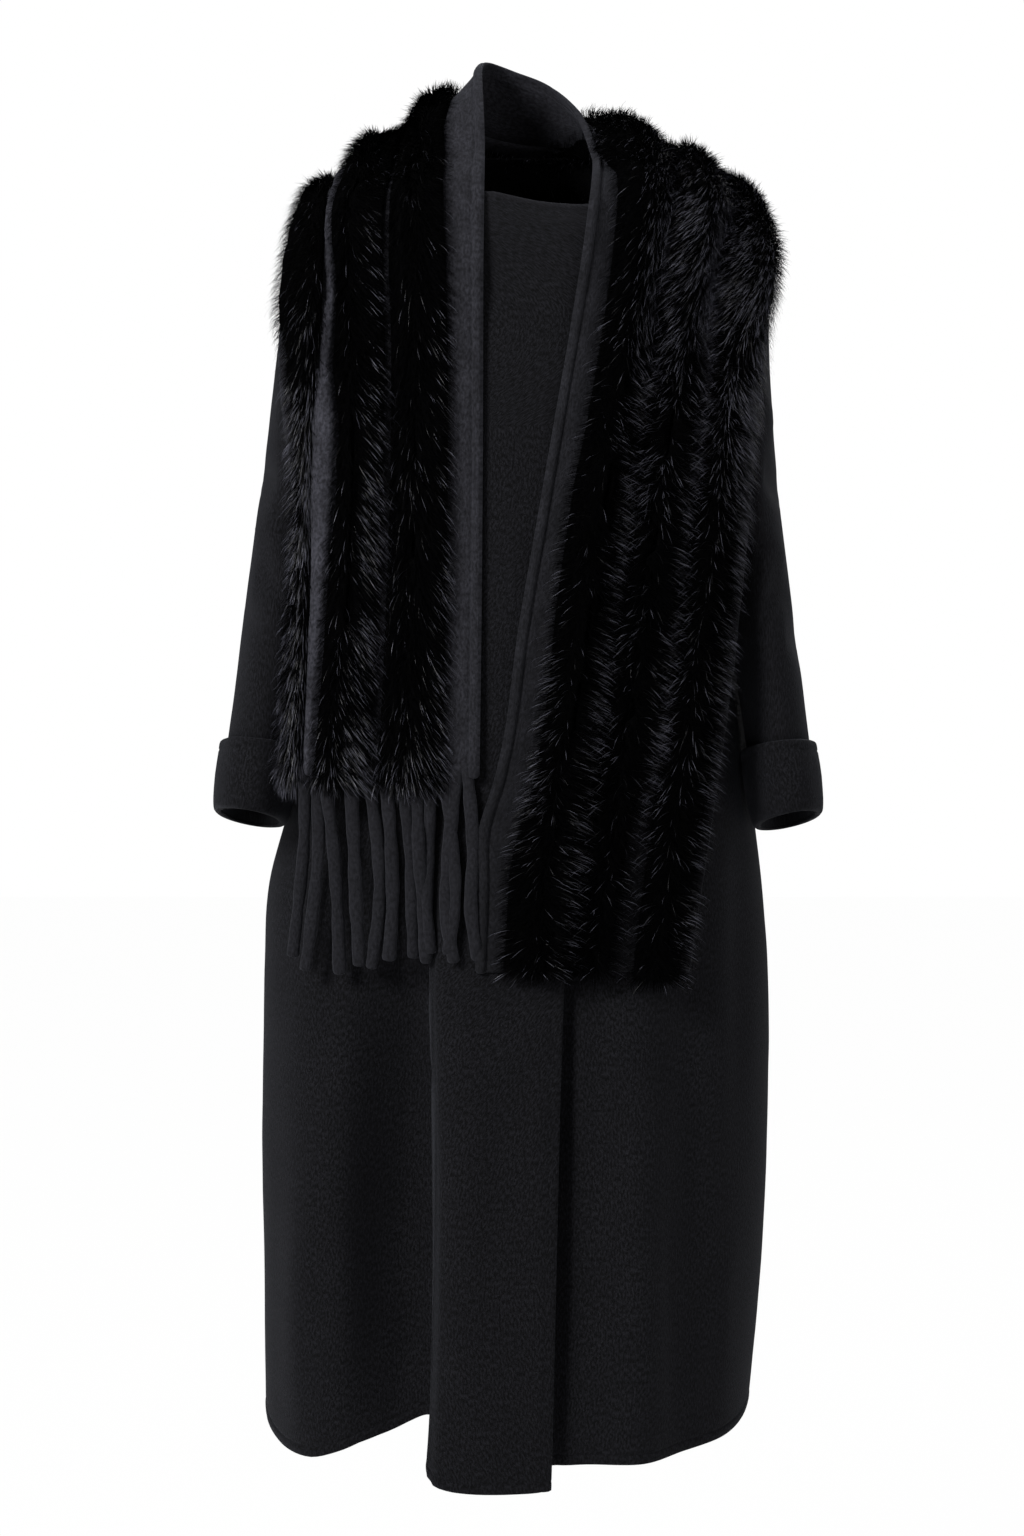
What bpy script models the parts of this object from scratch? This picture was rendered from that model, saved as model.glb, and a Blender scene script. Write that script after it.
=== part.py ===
"""Long double-faced wool coat worn with its own fur shawl. Metres, +Z up.

The coat is built as worn and left hollow. The origin lies on the shoulders, midway between the two
side points of the neckline, where the wearer carries it. The wearer faces -Y, so right is -X.
"""

import math

import bmesh
import bpy
import numpy as np
from mathutils import Vector
from mathutils.bvhtree import BVHTree

MM = 0.001
CLOTH = 2.6 * MM            # double-faced wool, two plies felted together
SEAM_GAP = 0.3 * MM         # every sewn edge stands this far from its neighbour
FRONT_LAP_GAP = 2.2 * MM    # the right front lies this far over the left front
SHAWL_CLEAR = 3.2 * MM      # the shawl's cloth over the coat
SEAT_GAP = 0.45 * MM        # where the shawl's weight rests on the shoulders
SLEEVE_CLEAR = 5.0 * MM     # the coat's side behind a hanging sleeve
SQUARE = 2.3                # how squared the coat's oval sections are

# ---- the coat's body -------------------------------------------------------------------------

# height, then how far the cloth reaches to the right side, left side, front and back, and how far
# back the side seams run
BODY = (
    (-1.230, 0.237, 0.192, 0.172, 0.170, 0.006),
    (-1.150, 0.238, 0.199, 0.170, 0.168, 0.006),
    (-1.000, 0.239, 0.213, 0.166, 0.163, 0.008),
    (-0.850, 0.240, 0.219, 0.160, 0.156, 0.014),
    (-0.720, 0.237, 0.218, 0.154, 0.149, 0.026),
    (-0.650, 0.233, 0.213, 0.150, 0.144, 0.034),
    (-0.590, 0.216, 0.206, 0.146, 0.140, 0.040),
    (-0.500, 0.192, 0.199, 0.142, 0.134, 0.042),
    (-0.400, 0.174, 0.182, 0.137, 0.128, 0.030),
    (-0.300, 0.163, 0.164, 0.131, 0.123, 0.008),
    (-0.235, 0.164, 0.164, 0.127, 0.120, 0.000),
    (-0.160, 0.175, 0.175, 0.122, 0.116, 0.000),
    (-0.100, 0.184, 0.184, 0.115, 0.110, 0.000),
    (-0.050, 0.183, 0.183, 0.103, 0.098, 0.000),
    (-0.023, 0.143, 0.143, 0.091, 0.084, 0.000),
    (-0.003, 0.106, 0.106, 0.076, 0.068, 0.000),
    (0.009, 0.082, 0.082, 0.062, 0.055, 0.000),
    (0.017, 0.066, 0.066, 0.052, 0.046, 0.000),
)
UNDERARM_Z, SHOULDER_TIP_Z, SIDE_NECK_Z = -0.235, -0.050, 0.009
FRONT_NECK_Z, BACK_NECK_Z = -0.036, 0.000
ARMHOLE_DEPTH = 0.082       # half the armhole, front to back
# the lapped edge of the right front, and the hidden edge of the left front under it: height, x
RIGHT_FRONT_EDGE = ((-1.230, 0.018), (-0.700, 0.031), (-0.300, 0.046), (0.0, 0.057))
LEFT_FRONT_EDGE = ((-1.230, -0.058), (-0.300, -0.050), (0.0, -0.046))
# the hem's height round the coat: direction in degrees, height. 180 is the right side, 270 front
HEM = (
    (0, -1.118), (45, -1.130), (90, -1.135), (135, -1.130), (180, -1.130), (205, -1.146),
    (226, -1.143), (238, -1.122), (248, -1.112), (251, -1.124), (254, -1.152), (262, -1.162),
    (276, -1.162),
)
HEM_LEFT_FRONT = ((255, -1.142), (285, -1.143), (310, -1.140), (335, -1.130), (360, -1.118))
# soft folds of each panel: x, how far the cloth stands out there once the fold is fully open
RIGHT_FRONT_FOLDS = (
    (-0.250, 0.0), (-0.225, 0.001), (-0.195, 0.008), (-0.165, 0.000), (-0.135, -0.028),
    (-0.108, -0.034), (-0.093, -0.024), (-0.086, 0.004), (-0.074, 0.014), (-0.045, 0.016),
    (0.000, 0.011), (0.030, 0.005), (0.060, 0.004),
)
LEFT_FRONT_FOLDS = (
    (-0.080, 0.0), (0.020, 0.000), (0.050, -0.005), (0.095, 0.009), (0.140, -0.002),
    (0.175, 0.003), (0.205, 0.0), (0.240, 0.0),
)
BACK_FOLDS = (
    (-0.245, 0.0), (-0.205, 0.002), (-0.160, 0.010), (-0.118, -0.015), (-0.072, 0.013),
    (-0.030, 0.004), (0.018, -0.012), (0.068, 0.015), (0.112, -0.010), (0.155, 0.007),
    (0.200, 0.001), (0.240, 0.0),
)
FOLDS_START_Z, FOLDS_FULL_Z = -0.33, -1.12
# columns of each panel as degrees round from its side seam; the first five meet the shoulder seam
RIGHT_FRONT_COLUMNS = (0, 14, 28, 40, 50, 58, 63.5, 67.5, 70, 72.5, 76.5, 83, 90, 97)
LEFT_FRONT_COLUMNS = (0, 13, 26, 38, 49, 60, 70, 80, 91, 103)
BACK_COLUMNS = (
    0, 14, 27, 39, 50, 60, 69, 76.5, 83.5, 90, 96.5, 103.5, 111, 120, 130, 141, 153, 166, 180,
)
SEAM_COLUMNS = 4            # strips of cloth between the shoulder tip and the neck
ARMHOLE_STEPS = 8
SKIRT_LEVELS = (0.0, 0.09, 0.19, 0.30, 0.41, 0.52, 0.63, 0.74, 0.85, 0.93, 1.0)  # hem to underarm

# ---- the sleeves: each row is a ring ---------------------------------------------------------

# outer x and z, inner x and z, middle y, half depth, how much the front edge is lifted
RIGHT_SLEEVE = (
    (0.2030, -0.076, 0.1680, -0.243, 0.000, 0.084, 0.000),
    (0.2130, -0.110, 0.1690, -0.252, 0.000, 0.085, 0.000),
    (0.2195, -0.155, 0.1695, -0.266, -0.001, 0.085, 0.000),
    (0.2270, -0.214, 0.1710, -0.292, -0.003, 0.083, 0.001),
    (0.2365, -0.288, 0.1740, -0.335, -0.008, 0.081, 0.003),
    (0.2475, -0.372, 0.1810, -0.396, -0.017, 0.078, 0.006),
    (0.2590, -0.462, 0.1930, -0.470, -0.030, 0.073, 0.011),
    (0.2685, -0.534, 0.2080, -0.540, -0.041, 0.068, 0.014),
    (0.2745, -0.578, 0.2175, -0.587, -0.049, 0.065, 0.015),
)
LEFT_SLEEVE = (
    (0.2020, -0.076, 0.1670, -0.243, 0.000, 0.084, 0.000),
    (0.2110, -0.110, 0.1680, -0.252, 0.000, 0.085, 0.000),
    (0.2145, -0.155, 0.1685, -0.266, -0.001, 0.085, 0.000),
    (0.2175, -0.214, 0.1700, -0.292, -0.003, 0.083, 0.001),
    (0.2230, -0.288, 0.1720, -0.335, -0.008, 0.081, 0.003),
    (0.2330, -0.372, 0.1780, -0.396, -0.017, 0.078, 0.006),
    (0.2440, -0.462, 0.1880, -0.468, -0.030, 0.073, 0.011),
    (0.2530, -0.534, 0.1980, -0.540, -0.040, 0.068, 0.014),
    (0.2590, -0.580, 0.2050, -0.590, -0.047, 0.065, 0.015),
)
CUFF_TURN = 62 * MM         # depth of the turned-back cuff
CUFF_CLOTH = 4.0 * MM       # the turned-back cloth with its loft
CUFF_FOLD = 3.0 * MM        # how far the fold hangs under the sleeve's end

# ---- the shawl: a long strip laid over the shoulders -------------------------------------------

# inner edge x, y, z, the wool ridge between the second and third strips, then the outer edge
SHAWL = (
    (-0.043, -0.158, -0.536, -0.198, -0.127, -0.536, -0.210, -0.092, -0.536),
    (-0.041, -0.150, -0.450, -0.188, -0.121, -0.450, -0.204, -0.086, -0.450),
    (-0.041, -0.144, -0.350, -0.182, -0.116, -0.350, -0.203, -0.081, -0.350),
    (-0.040, -0.138, -0.250, -0.179, -0.110, -0.250, -0.206, -0.076, -0.250),
    (-0.039, -0.128, -0.150, -0.177, -0.098, -0.160, -0.209, -0.063, -0.170),
    (-0.038, -0.108, -0.060, -0.173, -0.079, -0.085, -0.211, -0.046, -0.118),
    (-0.038, -0.075, 0.010, -0.166, -0.046, -0.026, -0.211, -0.018, -0.080),
    (-0.041, -0.032, 0.064, -0.158, -0.006, 0.000, -0.208, 0.014, -0.062),
    (-0.044, 0.014, 0.086, -0.145, 0.036, -0.010, -0.190, 0.060, -0.082),
    (-0.030, 0.046, 0.082, -0.092, 0.088, -0.052, -0.125, 0.112, -0.122),
    (0.002, 0.058, 0.071, 0.000, 0.100, -0.080, 0.000, 0.122, -0.145),
    (0.034, 0.047, 0.058, 0.094, 0.088, -0.058, 0.128, 0.112, -0.128),
    (0.052, 0.018, 0.045, 0.147, 0.036, -0.015, 0.192, 0.060, -0.086),
    (0.058, -0.022, 0.031, 0.162, 0.000, -0.012, 0.212, 0.012, -0.070),
    (0.060, -0.066, 0.003, 0.165, -0.040, -0.035, 0.214, -0.030, -0.088),
    (0.054, -0.104, -0.050, 0.164, -0.078, -0.085, 0.210, -0.066, -0.132),
    (0.045, -0.126, -0.120, 0.158, -0.100, -0.155, 0.204, -0.090, -0.190),
    (0.028, -0.138, -0.210, 0.148, -0.112, -0.235, 0.197, -0.101, -0.270),
    (0.010, -0.145, -0.320, 0.137, -0.120, -0.335, 0.189, -0.107, -0.360),
    (-0.004, -0.152, -0.430, 0.126, -0.128, -0.437, 0.181, -0.114, -0.450),
    (-0.020, -0.158, -0.540, 0.112, -0.138, -0.543, 0.169, -0.125, -0.550),
    (-0.036, -0.164, -0.630, 0.093, -0.150, -0.630, 0.147, -0.142, -0.630),
    (-0.034, -0.168, -0.705, 0.090, -0.156, -0.706, 0.140, -0.150, -0.708),
)
# what lies across the shawl from its inner edge: wool band, then three strips of fur
BAND, FUR_STRIP, NARROW_GAP, WIDE_GAP, OUTER_EDGE = 32 * MM, 58 * MM, 4 * MM, 12 * MM, 6 * MM
SHAWL_WIDTH = BAND + 3 * FUR_STRIP + NARROW_GAP + WIDE_GAP + OUTER_EDGE
RIDGE = (BAND + 2 * FUR_STRIP + NARROW_GAP + WIDE_GAP / 2) / SHAWL_WIDTH
# how far the fur stands off the cloth: row of the shawl, height
FUR_PILE = ((0, 0.020), (6, 0.020), (10, 0.021), (13, 0.023), (16, 0.023), (22, 0.020))
FUR_OVERHANG = 12 * MM      # how far the fur hangs past the shawl's ends
# how far the shawl sags between its inner edge and ridge: row, sag
SHAWL_SAG = ((0, 0.0), (5, 0.0), (7, 0.007), (8, 0.011), (10, 0.008), (13, 0.003), (16, 0.0))
RIGHT_STRETCH_END, LEFT_STRETCH_START = 8, 13   # rows of the shawl at the two shoulders
CLOSE_ROWS = (5, 16)        # rows between which the shawl bends over the shoulders
FRINGE_LENGTH = 0.166
FRINGE_DEPTH = 7 * MM
FRINGE_CLEAR = 4 * MM


def ease(t):
    """0 to 1 with a soft start and end."""
    t = np.clip(t, 0, 1)
    return t * t * (3 - 2 * t)


def curve_through(table, at):
    """Reads every column of a table at given values of its first column, on a smooth curve."""
    table = np.array(table, float)
    keys, values = table[:, 0], table[:, 1:]
    slopes = np.gradient(values, keys, axis=0)
    at = np.clip(np.asarray(at, float), keys[0], keys[-1])
    low = np.clip(np.searchsorted(keys, at, side="right") - 1, 0, len(keys) - 2)
    step = (keys[low + 1] - keys[low])[..., None]
    t = (at - keys[low])[..., None] / step
    start, end = values[low], values[low + 1]
    rise_start, rise_end = slopes[low] * step, slopes[low + 1] * step
    return (
        start * (1 + 2 * t) * (1 - t) ** 2
        + rise_start * t * (1 - t) ** 2
        + end * t * t * (3 - 2 * t)
        + rise_end * t * t * (t - 1)
    )


def unit(vectors):
    return vectors / np.maximum(np.linalg.norm(vectors, axis=-1, keepdims=True), 1e-12)


# ---- the body's form -------------------------------------------------------------------------


def oval(turn, z):
    """Points on the coat's unfolded form. turn is the direction round the body in radians."""
    right, left, front, back, seam_y = np.moveaxis(curve_through(BODY, z), -1, 0)
    c, s = np.cos(turn), np.sin(turn)
    x = np.where(c > 0, left, right) * np.sign(c) * np.abs(c) ** (2 / SQUARE)
    y = np.where(s > 0, back - seam_y, front + seam_y) * np.sign(s) * np.abs(s) ** (2 / SQUARE)
    return np.stack([x, seam_y + y, z], -1)


def normals_of(surface, turn, z, step=0.002):
    """Outward normals of a surface that is a function of turn and height."""
    across = surface(turn + step, z) - surface(turn - step, z)
    up = surface(turn, z + step) - surface(turn, z - step)
    return unit(np.cross(across, up))


def folded(folds, lap=0.0):
    """The form with a panel's own folds, and lifted by lap where the panel lies over another."""

    def surface(turn, z):
        base = oval(turn, z)
        open_share = ease((FOLDS_START_Z - z) / (FOLDS_START_Z - FOLDS_FULL_Z))
        out = curve_through(folds, base[..., 0])[..., 0] * open_share
        out = out + lap * ease((base[..., 0] + 0.080) / 0.018)
        return base + normals_of(oval, turn, z) * out[..., None]

    return surface


def turn_at_front(x, z):
    """The direction in which the front of the form reaches a given x."""
    right, left = np.moveaxis(curve_through(BODY, z), -1, 0)[:2]
    share = np.abs(x) / np.where(x > 0, left, right)
    return 1.5 * math.pi + np.sign(x) * np.arcsin(share ** (SQUARE / 2))


def armhole_turn(phi, z):
    """How far round from the side seam the armhole reaches. phi runs from underarm to shoulder tip."""
    front = curve_through(BODY, z)[..., 2]
    return np.arcsin((ARMHOLE_DEPTH * np.cos(phi) / front) ** (SQUARE / 2))


def armhole_line(steps):
    """phi and height at each step up the armhole."""
    phi = np.linspace(-math.pi / 2, math.pi / 2, steps + 1)
    middle, half = (UNDERARM_Z + SHOULDER_TIP_Z) / 2, (SHOULDER_TIP_Z - UNDERARM_Z) / 2
    return phi, middle + half * np.sin(phi)


def coons(bottom, top, start, end):
    """A grid of rows between a bottom and a top line, whose ends follow the start and end lines."""
    rows, columns = len(start), len(bottom)
    r = np.linspace(0, 1, rows)[:, None, None]
    w = (np.arange(columns) / (columns - 1))[None, :, None]
    flat = (
        (1 - w) * (1 - r) * bottom[0] + w * (1 - r) * bottom[-1]
        + (1 - w) * r * top[0] + w * r * top[-1]
    )
    across = (1 - r) * bottom[None] + r * top[None]
    upward = (1 - w) * start[:, None] + w * end[:, None]
    return across + upward - flat


def neckline(share, low_z):
    """Height of the neckline at a share of the way from the side of the neck to its middle."""
    return SIDE_NECK_Z + (low_z - SIDE_NECK_Z) * np.sin(share * math.pi / 2) ** 0.9


def front_grid(side, columns, edge, hem):
    """Turn and height of each point of a front. side is the turn of its side seam."""
    share = np.array(columns, float) / columns[-1]
    hem_z = np.full(len(share), hem[0][1])
    for _ in range(3):  # the hem's height and the edge's place depend on each other
        edge_turn = turn_at_front(curve_through(edge, hem_z)[..., 0], hem_z)
        turn = side + (edge_turn - side) * share
        hem_z = curve_through(hem, np.degrees(turn))[..., 0]
    skirt = []
    for level in SKIRT_LEVELS:
        z = hem_z + (UNDERARM_Z - hem_z) * level
        edge_turn = turn_at_front(curve_through(edge, z)[..., 0], z)
        skirt.append(np.stack([side + (edge_turn - side) * share, z], -1))
    phi, arm_z = armhole_line(ARMHOLE_STEPS)
    inward = np.sign(edge_turn[-1] - side)
    start = np.stack([side + inward * armhole_turn(phi, arm_z), arm_z], -1)
    edge_z = np.linspace(UNDERARM_Z, FRONT_NECK_Z, ARMHOLE_STEPS + 1)
    end = np.stack([turn_at_front(curve_through(edge, edge_z)[..., 0], edge_z), edge_z], -1)
    seam_z = np.linspace(SHOULDER_TIP_Z, SIDE_NECK_Z, SEAM_COLUMNS + 1)
    neck = (share[SEAM_COLUMNS:] - share[SEAM_COLUMNS]) / (1 - share[SEAM_COLUMNS])
    to_middle = np.minimum(1, neck * (end[-1, 0] - side) / (1.5 * math.pi - side))
    top_turn = np.concatenate([np.full(SEAM_COLUMNS, side), side + (end[-1, 0] - side) * neck])
    top_z = np.concatenate([seam_z[:-1], neckline(to_middle, FRONT_NECK_Z)])
    upper = coons(skirt[-1], np.stack([top_turn, top_z], -1), start, end)
    return np.concatenate([np.array(skirt), upper[1:]])


def back_grid():
    """Turn and height of each point of the back."""
    turn = np.radians(BACK_COLUMNS)
    hem = HEM[:5]
    hem_z = curve_through(hem, BACK_COLUMNS)[..., 0]
    skirt = [
        np.stack([turn, hem_z + (UNDERARM_Z - hem_z) * level], -1) for level in SKIRT_LEVELS
    ]
    phi, arm_z = armhole_line(ARMHOLE_STEPS)
    start = np.stack([armhole_turn(phi, arm_z), arm_z], -1)
    end = np.stack([math.pi - armhole_turn(phi, arm_z), arm_z], -1)
    seam_z = np.linspace(SHOULDER_TIP_Z, SIDE_NECK_Z, SEAM_COLUMNS + 1)
    neck = np.linspace(0, 2, len(turn) - 2 * SEAM_COLUMNS)
    neck_z = neckline(1 - np.abs(neck - 1), BACK_NECK_Z)
    top_turn = np.concatenate(
        [np.zeros(SEAM_COLUMNS), neck * math.pi / 2, np.full(SEAM_COLUMNS, math.pi)]
    )
    top_z = np.concatenate([seam_z[:-1], neck_z, seam_z[-2::-1]])
    upper = coons(skirt[-1], np.stack([top_turn, top_z], -1), start, end)
    return np.concatenate([np.array(skirt), upper[1:]])


def give_way(points, normals, tree):
    """Presses a panel in where a hanging sleeve leans on it, below the armhole."""
    for i in np.ndindex(points.shape[:2]):
        if points[i][2] < UNDERARM_Z - 0.06:
            off, _ = height_over(tree, points[i])
            points[i] -= normals[i] * max(0.0, SLEEVE_CLEAR - off)
    return points


def panel_points(surface, grid, sides, shift):
    """A panel's outer points and normals. Along each side it is drawn back by shift from the side
    and shoulder seams, and its armhole edge takes the seam points and mitred normals it is given."""
    turn, z = grid[..., 0], grid[..., 1]
    points, normals = surface(turn, z), normals_of(surface, turn, z)
    levels = len(SKIRT_LEVELS)
    for column, (seam, mitre) in sides.items():
        shoulder = slice(0, SEAM_COLUMNS + 1) if column == 0 else slice(-SEAM_COLUMNS - 1, None)
        points[levels - 1:, column], normals[levels - 1:, column] = seam, mitre
        points[:levels, column, 1] += shift
        points[-1, shoulder, 1] += shift
    return points, normals


# ---- sleeves ---------------------------------------------------------------------------------


def sleeve_rings(rows, sign):
    """A sleeve's points ring by ring from the armhole, their normals, and the armhole's own points.
    sign is -1 for the right sleeve. Each ring starts at the underarm and goes up the front."""
    phi, z = armhole_line(ARMHOLE_STEPS)
    side = math.pi if sign < 0 else 0.0
    away = armhole_turn(phi, z)
    turns = np.concatenate([side - sign * away, (side + sign * away)[-2:0:-1]])
    heights = np.concatenate([z, z[-2:0:-1]])
    hole = oval(turns, heights)
    angle = np.linspace(-math.pi / 2, 1.5 * math.pi, 2 * ARMHOLE_STEPS + 1)[:-1]
    across, along = np.sin(angle), np.cos(angle)
    rings = [hole]
    for outer_x, outer_z, inner_x, inner_z, y, depth, lift in rows:
        x = (outer_x + inner_x) / 2 + (outer_x - inner_x) / 2 * across
        up = (outer_z + inner_z) / 2 + (outer_z - inner_z) / 2 * across + lift * along
        rings.append(np.stack([sign * x, y - depth * along, up], -1))
    rings = np.array(rings)
    normals = grid_normals(rings, closed=True)
    if np.sum(normals[3] * (rings[3] - rings[3].mean(0))) < 0:
        normals = -normals
    mitre = unit(normals_of(oval, turns, heights) + normals[0])
    seam = np.cross(np.roll(hole, -1, axis=0) - np.roll(hole, 1, axis=0), mitre)
    seam = unit(seam) * np.sign(np.sum(seam * (rings[1] - hole), -1, keepdims=True))
    rings[0] = hole + seam * SEAM_GAP
    normals[0] = mitre
    return rings, normals, hole


def grid_normals(points, closed):
    """Normals of a grid of points, whose rows are rings when closed."""
    down = np.gradient(points, axis=0)
    if closed:
        along = np.roll(points, -1, axis=1) - np.roll(points, 1, axis=1)
    else:
        along = np.gradient(points, axis=1)
    return unit(np.cross(along, down))


def cuff_profile(rings, normals):
    """The turned-back cuff: a hooked section carried round the sleeve's end."""
    lengths = np.linalg.norm(np.diff(rings.mean(1), axis=0), axis=1)
    from_end = np.concatenate([np.cumsum(lengths[::-1])[::-1], [0.0]])
    below = unit(rings[-1] - rings[-2])

    def at(distance, out):
        """Points round the sleeve at a distance up from its end, moved out by a distance."""
        row = np.interp(-distance, -from_end, np.arange(len(rings)))
        low = min(int(row), len(rings) - 2)
        point = rings[low] + (rings[low + 1] - rings[low]) * (row - low)
        facing = unit(normals[low] + (normals[low + 1] - normals[low]) * (row - low))
        return point + facing * out - below * min(distance, 0.0)

    lift = SEAM_GAP * 2
    outside = lift + CUFF_CLOTH
    section = (
        (CUFF_TURN, lift), (CUFF_TURN, outside - 1.2 * MM), (CUFF_TURN - 3 * MM, outside),
        (CUFF_TURN / 2, outside + 1.5 * MM), (3 * MM, outside), (-CUFF_FOLD / 2, outside - 1 * MM),
        (-CUFF_FOLD, lift), (-CUFF_FOLD, -CLOTH), (-SEAM_GAP, -CLOTH), (-SEAM_GAP, lift),
        (CUFF_TURN / 2, lift),
    )
    return np.array([at(distance, out) for distance, out in section])


# ---- the shawl -------------------------------------------------------------------------------


def across_shawl():
    """Shares of the shawl's width at the edges and middles of its band and fur strips."""
    first = BAND
    starts = (first, first + FUR_STRIP + NARROW_GAP, first + 2 * FUR_STRIP + NARROW_GAP + WIDE_GAP)
    strips = [(s, s + FUR_STRIP / 2, s + FUR_STRIP) for s in starts]
    places = [0, first / 2] + [p for strip in strips for p in strip] + [SHAWL_WIDTH]
    columns = [places.index(strip[0]) for strip in strips]
    return np.array(places) / SHAWL_WIDTH, columns


def shawl_rows(rows_at, share):
    """The shawl before it rests on the coat: straight from inner edge to ridge to outer edge."""
    keyed = [(i, *row) for i, row in enumerate(SHAWL)]
    inner, ridge, outer = np.split(curve_through(keyed, rows_at)[:, None], 3, axis=-1)
    t = share[None, :, None]
    points = np.where(
        t < RIDGE, inner + (ridge - inner) * t / RIDGE,
        ridge + (outer - ridge) * (t - RIDGE) / (1 - RIDGE),
    )
    sag = curve_through(SHAWL_SAG, rows_at)
    points[..., 2] -= sag * np.sin(math.pi * np.clip(share / RIDGE, 0, 1))[None]
    return points


def height_over(tree, point):
    """How far a point lies outside the surface in tree, and the surface's normal there."""
    place, normal, _, distance = tree.find_nearest(Vector(point))
    off = (Vector(point) - place).dot(normal)
    return (off if abs(off) > 0.6 * distance else distance), np.array(normal)


def rest_on(points, tree, clearance, rounds=4):
    """Moves a grid of points out until the points, and the cloth between them, clear the tree."""
    for turn in range(rounds):
        for i in np.ndindex(points.shape[:2]):
            off, normal = height_over(tree, points[i])
            if off < clearance:
                points[i] += normal * (clearance - off)
        if turn < rounds - 1:
            relaxed = points.copy()
            relaxed[1:-1] += 0.25 * (points[:-2] + points[2:] - 2 * points[1:-1])
            relaxed[:, 1:-1] += 0.15 * (points[:, :-2] + points[:, 2:] - 2 * points[:, 1:-1])
            points = relaxed
    for _ in range(3):
        for i, j in np.ndindex(points.shape[0] - 1, points.shape[1] - 1):
            corners = ((i, j), (i, j + 1), (i + 1, j), (i + 1, j + 1))
            for share in (0.5, 0.25, 0.75):
                for a, b in ((0, 1), (0, 2), (0, 3), (1, 2), (2, 3), (1, 3)):
                    first, second = corners[a], corners[b]
                    middle = points[first] * (1 - share) + points[second] * share
                    off, normal = height_over(tree, middle)
                    if off < clearance * 0.85:
                        points[first] += normal * (clearance * 0.85 - off)
                        points[second] += normal * (clearance * 0.85 - off)
    return points


def settle(points, normals, tree):
    """Lets the shawl down until the underside of its cloth all but touches the coat."""
    under = (points - normals * CLOTH).reshape(-1, 3)
    faces = grid_faces(*points.shape[:2])
    clear, touching = 0.0, 10 * MM
    for _ in range(12):
        drop = (clear + touching) / 2
        lowered = BVHTree.FromPolygons((under - np.array([0, 0, drop])).tolist(), faces)
        if lowered.overlap(tree):
            touching = drop
        else:
            clear = drop
    points[..., 2] -= clear - SEAT_GAP
    return points


# ---- Blender objects -------------------------------------------------------------------------


def material(name, colour, roughness, sheen=0.0):
    made = bpy.data.materials.new(name)
    made.use_nodes = True
    shader = made.node_tree.nodes["Principled BSDF"]
    shader.inputs["Base Color"].default_value = (*colour, 1)
    shader.inputs["Roughness"].default_value = roughness
    shader.inputs["Metallic"].default_value = 0.0
    shader.inputs["Sheen Weight"].default_value = sheen
    return made


def mesh_object(name, points, faces, finish):
    """An object from points and faces, its faces turned outwards."""
    mesh = bpy.data.meshes.new(name)
    mesh.from_pydata([tuple(p) for p in points], [], faces)
    work = bmesh.new()
    work.from_mesh(mesh)
    bmesh.ops.recalc_face_normals(work, faces=work.faces)
    work.to_mesh(mesh)
    work.free()
    mesh.shade_smooth()
    mesh.set_sharp_from_angle(angle=math.radians(50))
    mesh.materials.append(finish)
    made = bpy.data.objects.new(name, mesh)
    bpy.context.scene.collection.objects.link(made)
    return made


def grid_faces(rows, columns, first=0, wrap=False):
    """Triangles of a grid of points, wrapped round when its rows are rings."""
    spans = columns if wrap else columns - 1
    faces = []
    for r in range(rows - 1):
        for c in range(spans):
            a, b = first + r * columns + c, first + r * columns + (c + 1) % columns
            faces += [(a, b, b + columns), (a, b + columns, a + columns)]
    return faces


def wall(name, outer, normals, thickness, finish, closed=False):
    """A closed wall of cloth under a grid of outer points, as a tube when its rows are rings."""
    rows, columns = outer.shape[:2]
    inner = outer - normals * thickness
    count = rows * columns
    points = np.concatenate([outer.reshape(-1, 3), inner.reshape(-1, 3)])
    faces = grid_faces(rows, columns, 0, closed)
    faces += [face[::-1] for face in grid_faces(rows, columns, count, closed)]
    ends = [[c for c in range(columns)], [(rows - 1) * columns + c for c in range(columns)]]
    for line in ends:
        for a, b in zip(line, line[1:] + line[:1] if closed else line[1:]):
            faces += [(a, b, b + count), (a, b + count, a + count)]
    if not closed:
        for column in (0, columns - 1):
            line = [r * columns + column for r in range(rows)]
            for a, b in zip(line, line[1:]):
                faces += [(a, b, b + count), (a, b + count, a + count)]
    return mesh_object(name, points, faces, finish)


def ring_solid(name, rows, finish):
    """A solid whose section is carried round a ring: both ways of the grid are closed."""
    count, columns = rows.shape[:2]
    faces = grid_faces(count, columns, 0, wrap=True)
    last = (count - 1) * columns
    for c in range(columns):
        after = (c + 1) % columns
        faces += [(last + c, last + after, after), (last + c, after, c)]
    return mesh_object(name, rows.reshape(-1, 3), faces, finish)


def fur_strip(name, points, normals, crown, base, finish):
    """A strip of fur as the plain rounded loaf that its pile reaches, over three shawl columns.
    crown and base say for each row how far the pile and its roots stand off the cloth."""
    left, middle, right = points[:, 0], points[:, 1], points[:, 2]
    n_left, n_middle, n_right = normals[:, 0], normals[:, 1], normals[:, 2]
    section = np.stack([
        left + n_left * base, middle + n_middle * base, right + n_right * base,
        right + n_right * crown * 0.62,
        (right * 0.55 + middle * 0.45) + unit(n_right + n_middle) * crown * 0.93,
        middle + n_middle * crown,
        (left * 0.55 + middle * 0.45) + unit(n_left + n_middle) * crown * 0.93,
        left + n_left * crown * 0.62,
    ], axis=1)
    rows, columns = section.shape[:2]
    faces = grid_faces(rows, columns, 0, wrap=True)
    faces += [tuple(range(columns)), tuple(range((rows - 1) * columns, rows * columns))]
    return mesh_object(name, section.reshape(-1, 3), faces, finish)


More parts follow.
